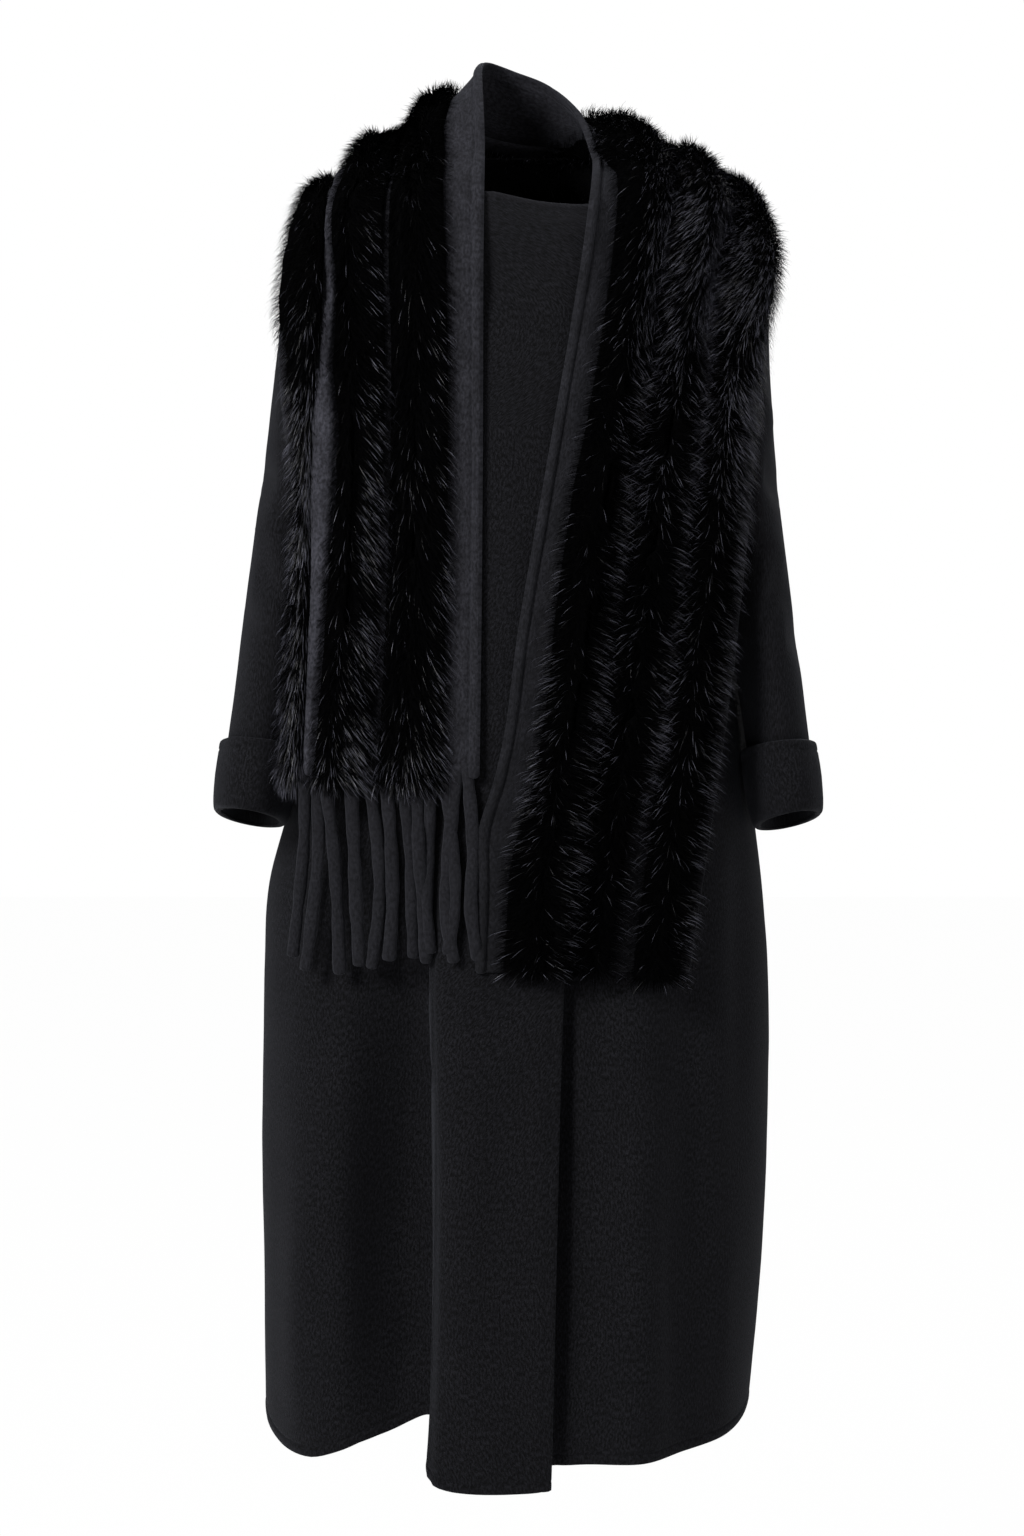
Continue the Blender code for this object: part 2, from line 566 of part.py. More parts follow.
def surface_tree(grids):
    """A search tree over the outer faces of several grids, their normals facing out."""
    points, faces = [], []
    for grid, normals, closed in grids:
        first = len(points)
        rows, columns = grid.shape[:2]
        points += [tuple(p) for p in grid.reshape(-1, 3)]
        triangles = grid_faces(rows, columns, 0, closed)
        flat, n = grid.reshape(-1, 3), normals.reshape(-1, 3)
        a, b, c = triangles[len(triangles) // 2]
        facing = np.cross(flat[b] - flat[a], flat[c] - flat[a]) @ n[a]
        turned = 1 if facing > 0 else -1
        faces += [tuple(first + i for i in face[::turned]) for face in triangles]
    return BVHTree.FromPolygons(points, faces)


# ---- the build -------------------------------------------------------------------------------


def build_coat(wool):
    """The coat's panels, sleeves and cuffs. Returns the grids that the shawl rests on."""
    half_gap = SEAM_GAP / 2
    up_front = list(range(ARMHOLE_STEPS + 1))
    up_back = [0, *range(2 * ARMHOLE_STEPS - 1, ARMHOLE_STEPS - 1, -1)]
    grids, front_edge, back_edge = [], {}, {}
    for side, rows, sign in (("right", RIGHT_SLEEVE, -1), ("left", LEFT_SLEEVE, 1)):
        rings, facing, hole = sleeve_rings(rows, sign)
        front_edge[side] = hole[up_front], facing[0, up_front]
        back_edge[side] = hole[up_back], facing[0, up_back]
        wall(f"sleeve_{side}", rings, facing, CLOTH, wool, closed=True)
        cuff = cuff_profile(rings, facing)
        ring_solid(f"cuff_{side}", cuff, wool)
        grids.append((rings, facing, True))
        grids.append((cuff[1:6], facing[-5:], True))

    sleeves = surface_tree(grids)
    fronts = (
        ("right", math.pi, RIGHT_FRONT_COLUMNS, RIGHT_FRONT_EDGE, HEM[4:],
         folded(RIGHT_FRONT_FOLDS, lap=CLOTH + FRONT_LAP_GAP)),
        ("left", 2 * math.pi, LEFT_FRONT_COLUMNS, LEFT_FRONT_EDGE, HEM_LEFT_FRONT,
         folded(LEFT_FRONT_FOLDS)),
    )
    for side, turn, columns, edge, hem, surface in fronts:
        grid = front_grid(turn, columns, edge, hem)
        points, normals = panel_points(surface, grid, {0: front_edge[side]}, -half_gap)
        points = give_way(points, normals, sleeves)
        wall(f"front_{side}", points, normals, CLOTH, wool)
        grids.append((points, normals, False))

    sides = {0: back_edge["left"], -1: back_edge["right"]}
    points, normals = panel_points(folded(BACK_FOLDS), back_grid(), sides, half_gap)
    points = give_way(points, normals, sleeves)
    wall("back", points, normals, CLOTH, wool)
    grids.append((points, normals, False))
    return grids


def stretch_of(points, normals, pile, start, end):
    """The rows of one stretch of the shawl, its cut ends drawn back half a seam gap."""
    part = slice(start, end + 1)
    cut, facing, height = points[part].copy(), normals[part].copy(), pile[part].copy()
    if start > 0:
        cut[0] += unit(cut[1] - cut[0]) * SEAM_GAP / 2
    if end < len(points) - 1:
        cut[-1] += unit(cut[-2] - cut[-1]) * SEAM_GAP / 2
    return cut, facing, height


def with_overhang(points, normals, pile, row, lift):
    """Fur rows carried past the shawl's end at row: rounded off there and lifted at the roots."""
    ahead = 0 if row == 0 else len(points)
    beyond = points[row] + np.array([0, 0, -FUR_OVERHANG])
    base = np.full(pile.shape, SEAM_GAP * 1.5)
    return (
        np.insert(points, ahead, beyond, axis=0), np.insert(normals, ahead, normals[row], axis=0),
        np.insert(pile, ahead, pile[row] * 0.66, axis=0), np.insert(base, ahead, lift, axis=0),
    )


def build_shawl(grids, wool, fur):
    """The shawl's cloth in three stretches, its strips of fur, and the fringe at one end."""
    tree = surface_tree(grids)
    share, strip_columns = across_shawl()
    rows = [*range(CLOSE_ROWS[0]), *np.arange(*CLOSE_ROWS, 0.5), *range(CLOSE_ROWS[1], len(SHAWL))]
    points = rest_on(shawl_rows(np.array(rows, float), share), tree, SHAWL_CLEAR + CLOTH)
    normals = grid_normals(points, closed=False)
    if normals[0, 0, 1] > 0:
        normals = -normals
    points = settle(points, normals, tree)
    pile = curve_through(FUR_PILE, rows)
    cuts = (0, rows.index(RIGHT_STRETCH_END), rows.index(LEFT_STRETCH_START), len(rows) - 1)
    for name, start, end in zip(("right", "neck", "left"), cuts, cuts[1:]):
        cut, facing, height = stretch_of(points, normals, pile, start, end)
        wall(f"shawl_{name}", cut, facing, CLOTH, wool)
        base = np.full(height.shape, SEAM_GAP * 1.5)
        if name == "right":
            cut, facing, height, base = with_overhang(cut, facing, height, 0, 4.5 * MM)
        if name == "left":
            cut, facing, height, base = with_overhang(cut, facing, height, -1, SEAM_GAP * 1.5)
        for number, column in enumerate(strip_columns, 1):
            over = cut[:, column:column + 3], facing[:, column:column + 3]
            fur_strip(f"fur_{name}_{number}", *over, height, base, fur)

    drop = np.array([SEAM_GAP, 0.014, 0.045, 0.085, 0.125, FRINGE_LENGTH])
    hem_line = points[0, 1:-1] - normals[0, 1:-1] * CLOTH
    hanging = np.stack([hem_line - np.array([0, 0, d]) for d in drop])
    hanging[1:] = rest_on(hanging[1:], tree, FRINGE_CLEAR, rounds=1)
    facing = np.broadcast_to(normals[:1, 1:-1], hanging.shape)
    depth = np.interp(drop, (SEAM_GAP, 0.014), (CLOTH, FRINGE_DEPTH))[:, None, None]
    wall("fringe", hanging + facing * depth, facing, depth, wool)


def main():
    for old in list(bpy.data.objects):
        bpy.data.objects.remove(old)
    wool = material("black_wool", (0.020, 0.021, 0.024), 0.9, sheen=0.3)
    fur = material("black_fur", (0.006, 0.006, 0.008), 0.6)
    build_shawl(build_coat(wool), wool, fur)


main()
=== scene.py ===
"""Looks of the long double-faced wool coat and its fur shawl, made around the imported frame.

Metres, +Z up. The wearer faces -Y, so right is -X. The cloth follows the frame's own form at a
finer grain: pressed edges, seams and soft creases are in the mesh, and the fur is blades of hair.
"""
import math

import bmesh
import bpy
import numpy as np
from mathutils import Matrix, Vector
from mathutils.bvhtree import BVHTree


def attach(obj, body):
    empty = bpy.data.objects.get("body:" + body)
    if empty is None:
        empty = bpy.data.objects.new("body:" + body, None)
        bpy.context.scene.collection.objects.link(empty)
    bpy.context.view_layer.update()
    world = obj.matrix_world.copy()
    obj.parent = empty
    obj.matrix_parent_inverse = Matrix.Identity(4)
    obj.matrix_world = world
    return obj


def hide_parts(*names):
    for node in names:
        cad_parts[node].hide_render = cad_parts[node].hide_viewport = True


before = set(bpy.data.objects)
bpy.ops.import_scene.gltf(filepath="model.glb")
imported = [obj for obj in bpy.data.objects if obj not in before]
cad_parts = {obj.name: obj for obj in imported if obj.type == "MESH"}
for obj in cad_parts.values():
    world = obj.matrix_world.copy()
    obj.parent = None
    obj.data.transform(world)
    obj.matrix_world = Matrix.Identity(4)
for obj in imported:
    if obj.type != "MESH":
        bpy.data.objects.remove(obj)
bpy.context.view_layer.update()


def metres(*rows, plain=0):
    """A table written in millimetres, in metres. Its first plain columns aren't lengths."""
    table = np.array(rows, float)
    table[:, plain:] = np.round(table[:, plain:] / 1000, 7)
    return table


MM = 0.001
CLOTH = 2.6 * MM            # double-faced wool, two plies felted together
SEAM_GAP = 0.3 * MM         # every sewn edge of the frame stands this far from its neighbour
OVERLAP = 0.05 * MM         # the fine panels' sewn edges overlap by this, so no light gets through
FRONT_LAP_GAP = 2.2 * MM    # the right front lies this far over the left front
SHAWL_CLEAR = 3.2 * MM      # the shawl's cloth over the coat
SEAT_GAP = 0.45 * MM        # where the shawl's weight rests on the shoulders
SLEEVE_CLEAR = 5.0 * MM     # the coat's side behind a hanging sleeve
SQUARE = 2.3                # how squared the coat's oval sections are

# ---- the coat's body, in millimetres

# height, then how far the cloth reaches to the right side, left side, front and back, and how far
# back the side seams run
BODY = metres(
    (-1230, 237, 192, 172, 170, 6), (-1150, 238, 199, 170, 168, 6), (-1000, 239, 213, 166, 163, 8),
    (-850, 240, 219, 160, 156, 14), (-720, 237, 218, 154, 149, 26), (-650, 233, 213, 150, 144, 34),
    (-590, 216, 206, 146, 140, 40), (-500, 192, 199, 142, 134, 42), (-400, 174, 182, 137, 128, 30),
    (-300, 163, 164, 131, 123, 8), (-235, 164, 164, 127, 120, 0), (-160, 175, 175, 122, 116, 0),
    (-100, 184, 184, 115, 110, 0), (-50, 183, 183, 103, 98, 0), (-23, 143, 143, 91, 84, 0),
    (-3, 106, 106, 76, 68, 0), (9, 82, 82, 62, 55, 0), (17, 66, 66, 52, 46, 0),
)
UNDERARM_Z, SHOULDER_TIP_Z, SIDE_NECK_Z = -0.235, -0.050, 0.009
FRONT_NECK_Z, BACK_NECK_Z = -0.036, 0.000
ARMHOLE_DEPTH = 0.082       # half the armhole, front to back
LEAN_Z = UNDERARM_Z - 0.06  # below this the sleeves lean on the coat's sides
LAP_X, LAP_SLOPE = -0.080, 0.018    # where the right front starts to rise over the left one
# the lapped edge of the right front, and the hidden edge of the left front under it: height, x
RIGHT_FRONT_EDGE = metres((-1230, 18), (-700, 31), (-300, 46), (0, 57))
LEFT_FRONT_EDGE = metres((-1230, -58), (-300, -50), (0, -46))
# the hem's height round the coat: direction in degrees, height. 180 is the right side, 270 front
HEM = metres(
    (0, -1118), (45, -1130), (90, -1135), (135, -1130), (180, -1130), (205, -1146), (226, -1143),
    (238, -1122), (248, -1112), (251, -1124), (254, -1152), (262, -1162), (276, -1162), plain=1,
)
HEM_LEFT_FRONT = metres(
    (255, -1142), (285, -1143), (310, -1140), (335, -1130), (360, -1118), plain=1,
)
# soft folds of each panel: x, how far the cloth stands out there once the fold is fully open
RIGHT_FRONT_FOLDS = metres(
    (-250, 0), (-225, 1), (-195, 8), (-165, 0), (-135, -28), (-108, -34), (-93, -24), (-86, 4),
    (-74, 14), (-45, 16), (0, 11), (30, 5), (60, 4),
)
LEFT_FRONT_FOLDS = metres(
    (-80, 0), (20, 0), (50, -5), (95, 9), (140, -2), (175, 3), (205, 0), (240, 0),
)
BACK_FOLDS = metres(
    (-245, 0), (-205, 2), (-160, 10), (-118, -15), (-72, 13), (-30, 4), (18, -12), (68, 15),
    (112, -10), (155, 7), (200, 1), (240, 0),
)
FOLDS_START_Z, FOLDS_FULL_Z = -0.33, -1.12
# columns of each panel as degrees round from its side seam; the first five meet the shoulder seam
RIGHT_FRONT_COLUMNS = (0, 14, 28, 40, 50, 58, 63.5, 67.5, 70, 72.5, 76.5, 83, 90, 97)
LEFT_FRONT_COLUMNS = (0, 13, 26, 38, 49, 60, 70, 80, 91, 103)
BACK_COLUMNS = (
    0, 14, 27, 39, 50, 60, 69, 76.5, 83.5, 90, 96.5, 103.5, 111, 120, 130, 141, 153, 166, 180,
)
SEAM_COLUMNS = 4            # strips of cloth between the shoulder tip and the neck
ARMHOLE_STEPS = 8
SKIRT_LEVELS = (0.0, 0.09, 0.19, 0.30, 0.41, 0.52, 0.63, 0.74, 0.85, 0.93, 1.0)  # hem to underarm

# ---- the sleeves: each row is a ring

# outer x and z, inner x and z, middle y, half depth, how much the front edge is lifted
SLEEVES = {
    "right": metres(
        (203, -76, 168, -243, 0, 84, 0), (213, -110, 169, -252, 0, 85, 0),
        (219.5, -155, 169.5, -266, -1, 85, 0), (227, -214, 171, -292, -3, 83, 1),
        (236.5, -288, 174, -335, -8, 81, 3), (247.5, -372, 181, -396, -17, 78, 6),
        (259, -462, 193, -470, -30, 73, 11), (268.5, -534, 208, -540, -41, 68, 14),
        (274.5, -578, 217.5, -587, -49, 65, 15),
    ),
    "left": metres(
        (202, -76, 167, -243, 0, 84, 0), (211, -110, 168, -252, 0, 85, 0),
        (214.5, -155, 168.5, -266, -1, 85, 0), (217.5, -214, 170, -292, -3, 83, 1),
        (223, -288, 172, -335, -8, 81, 3), (233, -372, 178, -396, -17, 78, 6),
        (244, -462, 188, -468, -30, 73, 11), (253, -534, 198, -540, -40, 68, 14),
        (259, -580, 205, -590, -47, 65, 15),
    ),
}
CUFF_TURN = 62 * MM         # depth of the turned-back cuff, whose cloth is 4 mm with its loft

# ---- the shawl: a long strip laid over the shoulders

# inner edge x, y, z, the wool ridge between the second and third strips, then the outer edge
SHAWL = metres(
    (-43, -158, -536, -198, -127, -536, -210, -92, -536),
    (-41, -150, -450, -188, -121, -450, -204, -86, -450),
    (-41, -144, -350, -182, -116, -350, -203, -81, -350),
    (-40, -138, -250, -179, -110, -250, -206, -76, -250),
    (-39, -128, -150, -177, -98, -160, -209, -63, -170),
    (-38, -108, -60, -173, -79, -85, -211, -46, -118),
    (-38, -75, 10, -166, -46, -26, -211, -18, -80),
    (-41, -32, 64, -158, -6, 0, -208, 14, -62),
    (-44, 14, 86, -145, 36, -10, -190, 60, -82),
    (-30, 46, 82, -92, 88, -52, -125, 112, -122),
    (2, 58, 71, 0, 100, -80, 0, 122, -145),
    (34, 47, 58, 94, 88, -58, 128, 112, -128),
    (52, 18, 45, 147, 36, -15, 192, 60, -86),
    (58, -22, 31, 162, 0, -12, 212, 12, -70),
    (60, -66, 3, 165, -40, -35, 214, -30, -88),
    (54, -104, -50, 164, -78, -85, 210, -66, -132),
    (45, -126, -120, 158, -100, -155, 204, -90, -190),
    (28, -138, -210, 148, -112, -235, 197, -101, -270),
    (10, -145, -320, 137, -120, -335, 189, -107, -360),
    (-4, -152, -430, 126, -128, -437, 181, -114, -450),
    (-20, -158, -540, 112, -138, -543, 169, -125, -550),
    (-36, -164, -630, 93, -150, -630, 147, -142, -630),
    (-34, -168, -705, 90, -156, -706, 140, -150, -708),
)
# what lies across the shawl from its inner edge: wool band, then three strips of fur
BAND, FUR_STRIP, NARROW_GAP, WIDE_GAP, OUTER_EDGE = 32 * MM, 58 * MM, 4 * MM, 12 * MM, 6 * MM
STRIP_STARTS = (
    BAND, BAND + FUR_STRIP + NARROW_GAP, BAND + 2 * FUR_STRIP + NARROW_GAP + WIDE_GAP,
)
SHAWL_WIDTH = BAND + 3 * FUR_STRIP + NARROW_GAP + WIDE_GAP + OUTER_EDGE
RIDGE = (BAND + 2 * FUR_STRIP + NARROW_GAP + WIDE_GAP / 2) / SHAWL_WIDTH
# how far the fur stands off the cloth: row of the shawl, height
FUR_PILE = metres((0, 20), (6, 20), (10, 21), (13, 23), (16, 23), (22, 20), plain=1)
FUR_OVERHANG = 12 * MM      # how far the fur hangs past the shawl's ends
# how far the shawl sags between its inner edge and ridge: row, sag
SHAWL_SAG = metres((0, 0), (5, 0), (7, 7), (8, 11), (10, 8), (13, 3), (16, 0), plain=1)
# the shawl's stretches: first and last row
STRETCHES = {"right": (0.0, 8), "neck": (8, 13), "left": (13, 22.0)}
CLOSE_ROWS = (5, 16)        # rows between which the shawl bends over the shoulders

# ---- curves and grids


def ease(t):
    """0 to 1 with a soft start and end."""
    t = np.clip(t, 0, 1)
    return t * t * (3 - 2 * t)


def refined(values, at, keys=None, even=False):
    """Reads rows of values at places between their keys, which count from 0 if they aren't given,
    on a smooth curve. even keeps each span between its ends, without overshoot."""
    values = np.asarray(values, float)
    keys = np.arange(len(values), dtype=float) if keys is None else np.asarray(keys, float)
    if even:
        rise = np.diff(values, axis=0) / np.diff(keys).reshape((-1,) + (1,) * (values.ndim - 1))
        before, after = rise[:-1], rise[1:]
        agree = before * after > 0
        middle = np.where(agree, 2 * before * after / np.where(agree, before + after, 1), 0)
        slopes = np.concatenate([rise[:1], middle, rise[-1:]])
    else:
        slopes = np.gradient(values, keys, axis=0)
    at = np.clip(np.asarray(at, float), keys[0], keys[-1])
    low = np.clip(np.searchsorted(keys, at, side="right") - 1, 0, len(keys) - 2)
    shape = at.shape + (1,) * (values.ndim - 1)
    step = (keys[low + 1] - keys[low]).reshape(shape)
    t = (at - keys[low]).reshape(shape) / step
    rise_start, rise_end = slopes[low] * step, slopes[low + 1] * step
    return (
        values[low] * (1 + 2 * t) * (1 - t) ** 2 + rise_start * t * (1 - t) ** 2
        + values[low + 1] * t * t * (3 - 2 * t) + rise_end * t * t * (t - 1)
    )


def curve_through(table, at):
    """Reads a table at given values of its first column, on a smooth curve. A table of two
    columns gives plain values, a wider one a row for each place."""
    read = refined(table[:, 1:], at, table[:, 0])
    return read[..., 0] if table.shape[1] == 2 else read


def lines_through(table, at):
    """The same for a table of two columns, on straight lines."""
    return np.interp(at, table[:, 0], table[:, 1])


def refined_across(grid, at, keys=None, even=False):
    return np.swapaxes(refined(np.swapaxes(grid, 0, 1), at, keys, even), 0, 1)


def unit(vectors):
    return vectors / np.maximum(np.linalg.norm(vectors, axis=-1, keepdims=True), 1e-12)


def run_along(points, axis):
    """Distance walked along a grid's rows (axis 1) or columns (axis 0) from their start."""
    steps = np.linalg.norm(np.diff(points, axis=axis), axis=-1)
    start = np.zeros_like(np.take(steps, [0], axis=axis))
    return np.concatenate([start, np.cumsum(steps, axis=axis)], axis=axis)


def soft_noise(u, v, size, seed):
    """Smooth uneven values from -1 to 1, whose hills are about size apart."""
    lattice = np.random.default_rng(seed).random((128, 128)) * 2 - 1
    u, v = np.asarray(u) / size, np.asarray(v) / size
    iu, iv = np.floor(u).astype(int), np.floor(v).astype(int)
    tu, tv = ease(u - iu), ease(v - iv)
    iu, iv, ju, jv = iu % 128, iv % 128, (iu + 1) % 128, (iv + 1) % 128
    low = lattice[iu, iv] * (1 - tu) + lattice[ju, iv] * tu
    high = lattice[iu, jv] * (1 - tu) + lattice[ju, jv] * tu
    return low * (1 - tv) + high * tv


def creased(table, u, v):
    """Height of given soft creases: each row is start, end, half width and height."""
    height = np.zeros(np.shape(u))
    for u0, v0, u1, v1, half, rise in table:
        along = np.array([u1 - u0, v1 - v0])
        t = ((u - u0) * along[0] + (v - v0) * along[1]) / (along @ along)
        t = np.clip(t, 0, 1)
        off = np.hypot(u - u0 - along[0] * t, v - v0 - along[1] * t)
        height += rise * np.sin(math.pi * t) ** 0.7 * np.exp(-((off / half) ** 2))
    return height


def grid_normals(points, closed=False, like=None):
    """Normals of a grid of points, whose rows are rings when closed. They point out of the rings,
    or to the same side as like, or else to the front at the grid's start."""
    if closed:
        along = np.roll(points, -1, axis=1) - np.roll(points, 1, axis=1)
        like = points - points.mean(1, keepdims=True)
    else:
        along = np.gradient(points, axis=1)
    normals = unit(np.cross(along, np.gradient(points, axis=0)))
    side = -normals[0, 0, 1] if like is None else np.sum(normals * like)
    return -normals if side < 0 else normals


def quads(rows, columns, first=0, wrap=False):
    """Four-sided faces of a grid of points, wrapped round when its rows are rings."""
    ids = first + np.arange(rows * columns).reshape(rows, columns)
    if wrap:
        ids = np.concatenate([ids, ids[:, :1]], axis=1)
    corners = ids[:-1, :-1], ids[:-1, 1:], ids[1:, 1:], ids[1:, :-1]
    return np.stack(corners, -1).reshape(-1, 4)


def fan(ring, centre):
    """Triangles between a ring of points and one point in its middle."""
    return np.stack([ring, np.roll(ring, -1), np.full(len(ring), centre)], -1).tolist()


def grid_faces(rows, columns, wrap=False):
    """Triangles of a grid of points, wrapped round when its rows are rings."""
    a, b, c, d = quads(rows, columns, 0, wrap).T
    return np.stack([a, b, c, a, c, d], -1).reshape(-1, 3).tolist()


def surface_tree(grids):
    """A search tree over the outer faces of several grids, their normals facing out."""
    points, faces = [], []
    for grid, normals, closed in grids:
        first = len(points)
        flat, n = grid.reshape(-1, 3), normals.reshape(-1, 3)
        points += flat.tolist()
        triangles = grid_faces(*grid.shape[:2], closed)
        a, b, c = triangles[len(triangles) // 2]
        turned = 1 if np.cross(flat[b] - flat[a], flat[c] - flat[a]) @ n[a] > 0 else -1
        faces += [tuple(first + i for i in face[::turned]) for face in triangles]
    return BVHTree.FromPolygons(points, faces)


def height_over(tree, point):
    """How far a point lies outside the surface in tree, and the surface's normal there."""
    place, normal, _, distance = tree.find_nearest(Vector(point))
    off = (Vector(point) - place).dot(normal)
    return (off if abs(off) > 0.6 * distance else distance), np.array(normal)


# ---- the body's form


def oval(turn, z):
    """Points on the coat's unfolded form. turn is the direction round the body in radians."""
    right, left, front, back, seam_y = np.moveaxis(curve_through(BODY, z), -1, 0)
    c, s = np.cos(turn), np.sin(turn)
    x = np.where(c > 0, left, right) * np.sign(c) * np.abs(c) ** (2 / SQUARE)
    y = np.where(s > 0, back - seam_y, front + seam_y) * np.sign(s) * np.abs(s) ** (2 / SQUARE)
    return np.stack([x, seam_y + y, z], -1)


def normals_of(surface, turn, z):
    """Outward normals of a surface that is a function of turn and height."""
    step = 2 * MM
    across = surface(turn + step, z) - surface(turn - step, z)
    up = surface(turn, z + step) - surface(turn, z - step)
    return unit(np.cross(across, up))


def folded(folds, lap=0.0):
    """The form with a panel's own folds, and lifted by lap where the panel lies over another."""

    def surface(turn, z):
        base = oval(turn, z)
        open_share = ease((FOLDS_START_Z - z) / (FOLDS_START_Z - FOLDS_FULL_Z))
        out = curve_through(folds, base[..., 0]) * open_share
        out = out + lap * ease((base[..., 0] - LAP_X) / LAP_SLOPE)
        return base + normals_of(oval, turn, z) * out[..., None]

    return surface


def turn_at_front(edge, z):
    """The direction in which the front of the form reaches an edge given as heights and x."""
    x = curve_through(edge, z)
    right, left = np.moveaxis(curve_through(BODY, z), -1, 0)[:2]
    share = np.abs(x) / np.where(x > 0, left, right)
    return 1.5 * math.pi + np.sign(x) * np.arcsin(share ** (SQUARE / 2))


def armhole(steps):
    """How far round from the side seam the armhole reaches, and its height, at each step up it."""
    phi = np.linspace(-math.pi / 2, math.pi / 2, steps + 1)
    middle, half = (UNDERARM_Z + SHOULDER_TIP_Z) / 2, (SHOULDER_TIP_Z - UNDERARM_Z) / 2
    z = middle + half * np.sin(phi)
    front = curve_through(BODY, z)[..., 2]
    return np.arcsin((ARMHOLE_DEPTH * np.cos(phi) / front) ** (SQUARE / 2)), z


def coons(bottom, top, start, end):
    """A grid of rows between a bottom and a top line, whose ends follow the start and end lines."""
    rows, columns = len(start), len(bottom)
    r = np.linspace(0, 1, rows)[:, None, None]
    w = (np.arange(columns) / (columns - 1))[None, :, None]
    flat = (
        (1 - w) * (1 - r) * bottom[0] + w * (1 - r) * bottom[-1]
        + (1 - w) * r * top[0] + w * r * top[-1]
    )
    across = (1 - r) * bottom[None] + r * top[None]
    upward = (1 - w) * start[:, None] + w * end[:, None]
    return across + upward - flat


def neckline(share, low_z):
    """Height of the neckline at a share of the way from the side of the neck to its middle."""
    return SIDE_NECK_Z + (low_z - SIDE_NECK_Z) * np.sin(share * math.pi / 2) ** 0.9


def topped(skirt, turn, z, start, end):
    """The whole panel: its skirt, then its upper part as far as the top line at turn and z."""
    upper = coons(skirt[-1], np.stack([turn, z], -1), start, end)
    return np.concatenate([np.array(skirt), upper[1:]])


def front_grid(side, columns, edge, hem, levels, steps):
    """Turn and height of each point of a front. side is the turn of its side seam."""
    share = np.array(columns, float) / columns[-1]
    hem_z = np.full(len(share), hem[0][1])
    for _ in range(3):  # the hem's height and the edge's place depend on each other
        hem_turn = side + (turn_at_front(edge, hem_z) - side) * share
        hem_z = curve_through(hem, np.degrees(hem_turn))
    skirt = []
    for level in levels:
        z = hem_z + (UNDERARM_Z - hem_z) * level
        skirt.append(np.stack([side + (turn_at_front(edge, z) - side) * share, z], -1))
    away, arm_z = armhole(steps)
    start = np.stack([side + np.sign(1.5 * math.pi - side) * away, arm_z], -1)
    edge_z = np.linspace(UNDERARM_Z, FRONT_NECK_Z, steps + 1)
    end = np.stack([turn_at_front(edge, edge_z), edge_z], -1)
    seam_z = np.linspace(SHOULDER_TIP_Z, SIDE_NECK_Z, SEAM_COLUMNS + 1)
    neck = (share[SEAM_COLUMNS:] - share[SEAM_COLUMNS]) / (1 - share[SEAM_COLUMNS])
    to_middle = np.minimum(1, neck * (end[-1, 0] - side) / (1.5 * math.pi - side))
    top_turn = np.concatenate([np.full(SEAM_COLUMNS, side), side + (end[-1, 0] - side) * neck])
    top_z = np.concatenate([seam_z[:-1], neckline(to_middle, FRONT_NECK_Z)])
    return topped(skirt, top_turn, top_z, start, end)


def back_grid(levels, steps):
    """Turn and height of each point of the back."""
    turn = np.radians(BACK_COLUMNS)
    hem_z = curve_through(HEM[:5], BACK_COLUMNS)
    skirt = [np.stack([turn, hem_z + (UNDERARM_Z - hem_z) * level], -1) for level in levels]
    away, arm_z = armhole(steps)
    start, end = np.stack([away, arm_z], -1), np.stack([math.pi - away, arm_z], -1)
    seam_z = np.linspace(SHOULDER_TIP_Z, SIDE_NECK_Z, SEAM_COLUMNS + 1)
    neck = np.linspace(0, 2, len(turn) - 2 * SEAM_COLUMNS)
    neck_z = neckline(1 - np.abs(neck - 1), BACK_NECK_Z)
    ends = np.zeros(SEAM_COLUMNS), np.full(SEAM_COLUMNS, math.pi)
    top_turn = np.concatenate([ends[0], neck * math.pi / 2, ends[1]])
    top_z = np.concatenate([seam_z[:-1], neck_z, seam_z[-2::-1]])
    return topped(skirt, top_turn, top_z, start, end)


def give_way(points, normals, tree):
    """Presses a panel in where a hanging sleeve leans on it, below the armhole."""
    for i in np.ndindex(points.shape[:2]):
        if points[i][2] < LEAN_Z:
            off, _ = height_over(tree, points[i])
            points[i] -= normals[i] * max(0.0, SLEEVE_CLEAR - off)
    return points


def panel_points(surface, grid, places, level_count, sides, shift):
    """A panel's outer points and normals. Along each side it is drawn back by shift from the side
    and shoulder seams, and its armhole edge takes the seam points and mitred normals it is given.
    places says where the columns lie among the panel's named ones."""
    turn, z = grid[..., 0], grid[..., 1]
    points, normals = surface(turn, z), normals_of(surface, turn, z)
    for column, (seam, mitre) in sides.items():
        from_side = places if column == 0 else places[-1] - places
        points[level_count - 1:, column], normals[level_count - 1:, column] = seam, mitre
        points[:level_count, column, 1] += shift
        points[-1, from_side <= SEAM_COLUMNS, 1] += shift
    return points, normals


# ---- the shawl's form


def shawl_rows(rows_at, share):
    """The shawl before it rests on the coat: straight from inner edge to ridge to outer edge."""
    inner, ridge, outer = np.split(refined(SHAWL, rows_at)[:, None], 3, axis=-1)
    t = share[None, :, None]
    points = np.where(
        t < RIDGE, inner + (ridge - inner) * t / RIDGE,
        ridge + (outer - ridge) * (t - RIDGE) / (1 - RIDGE),
    )
    sag = curve_through(SHAWL_SAG, rows_at)[:, None]
    points[..., 2] -= sag * np.sin(math.pi * np.clip(share / RIDGE, 0, 1))[None]
    return points


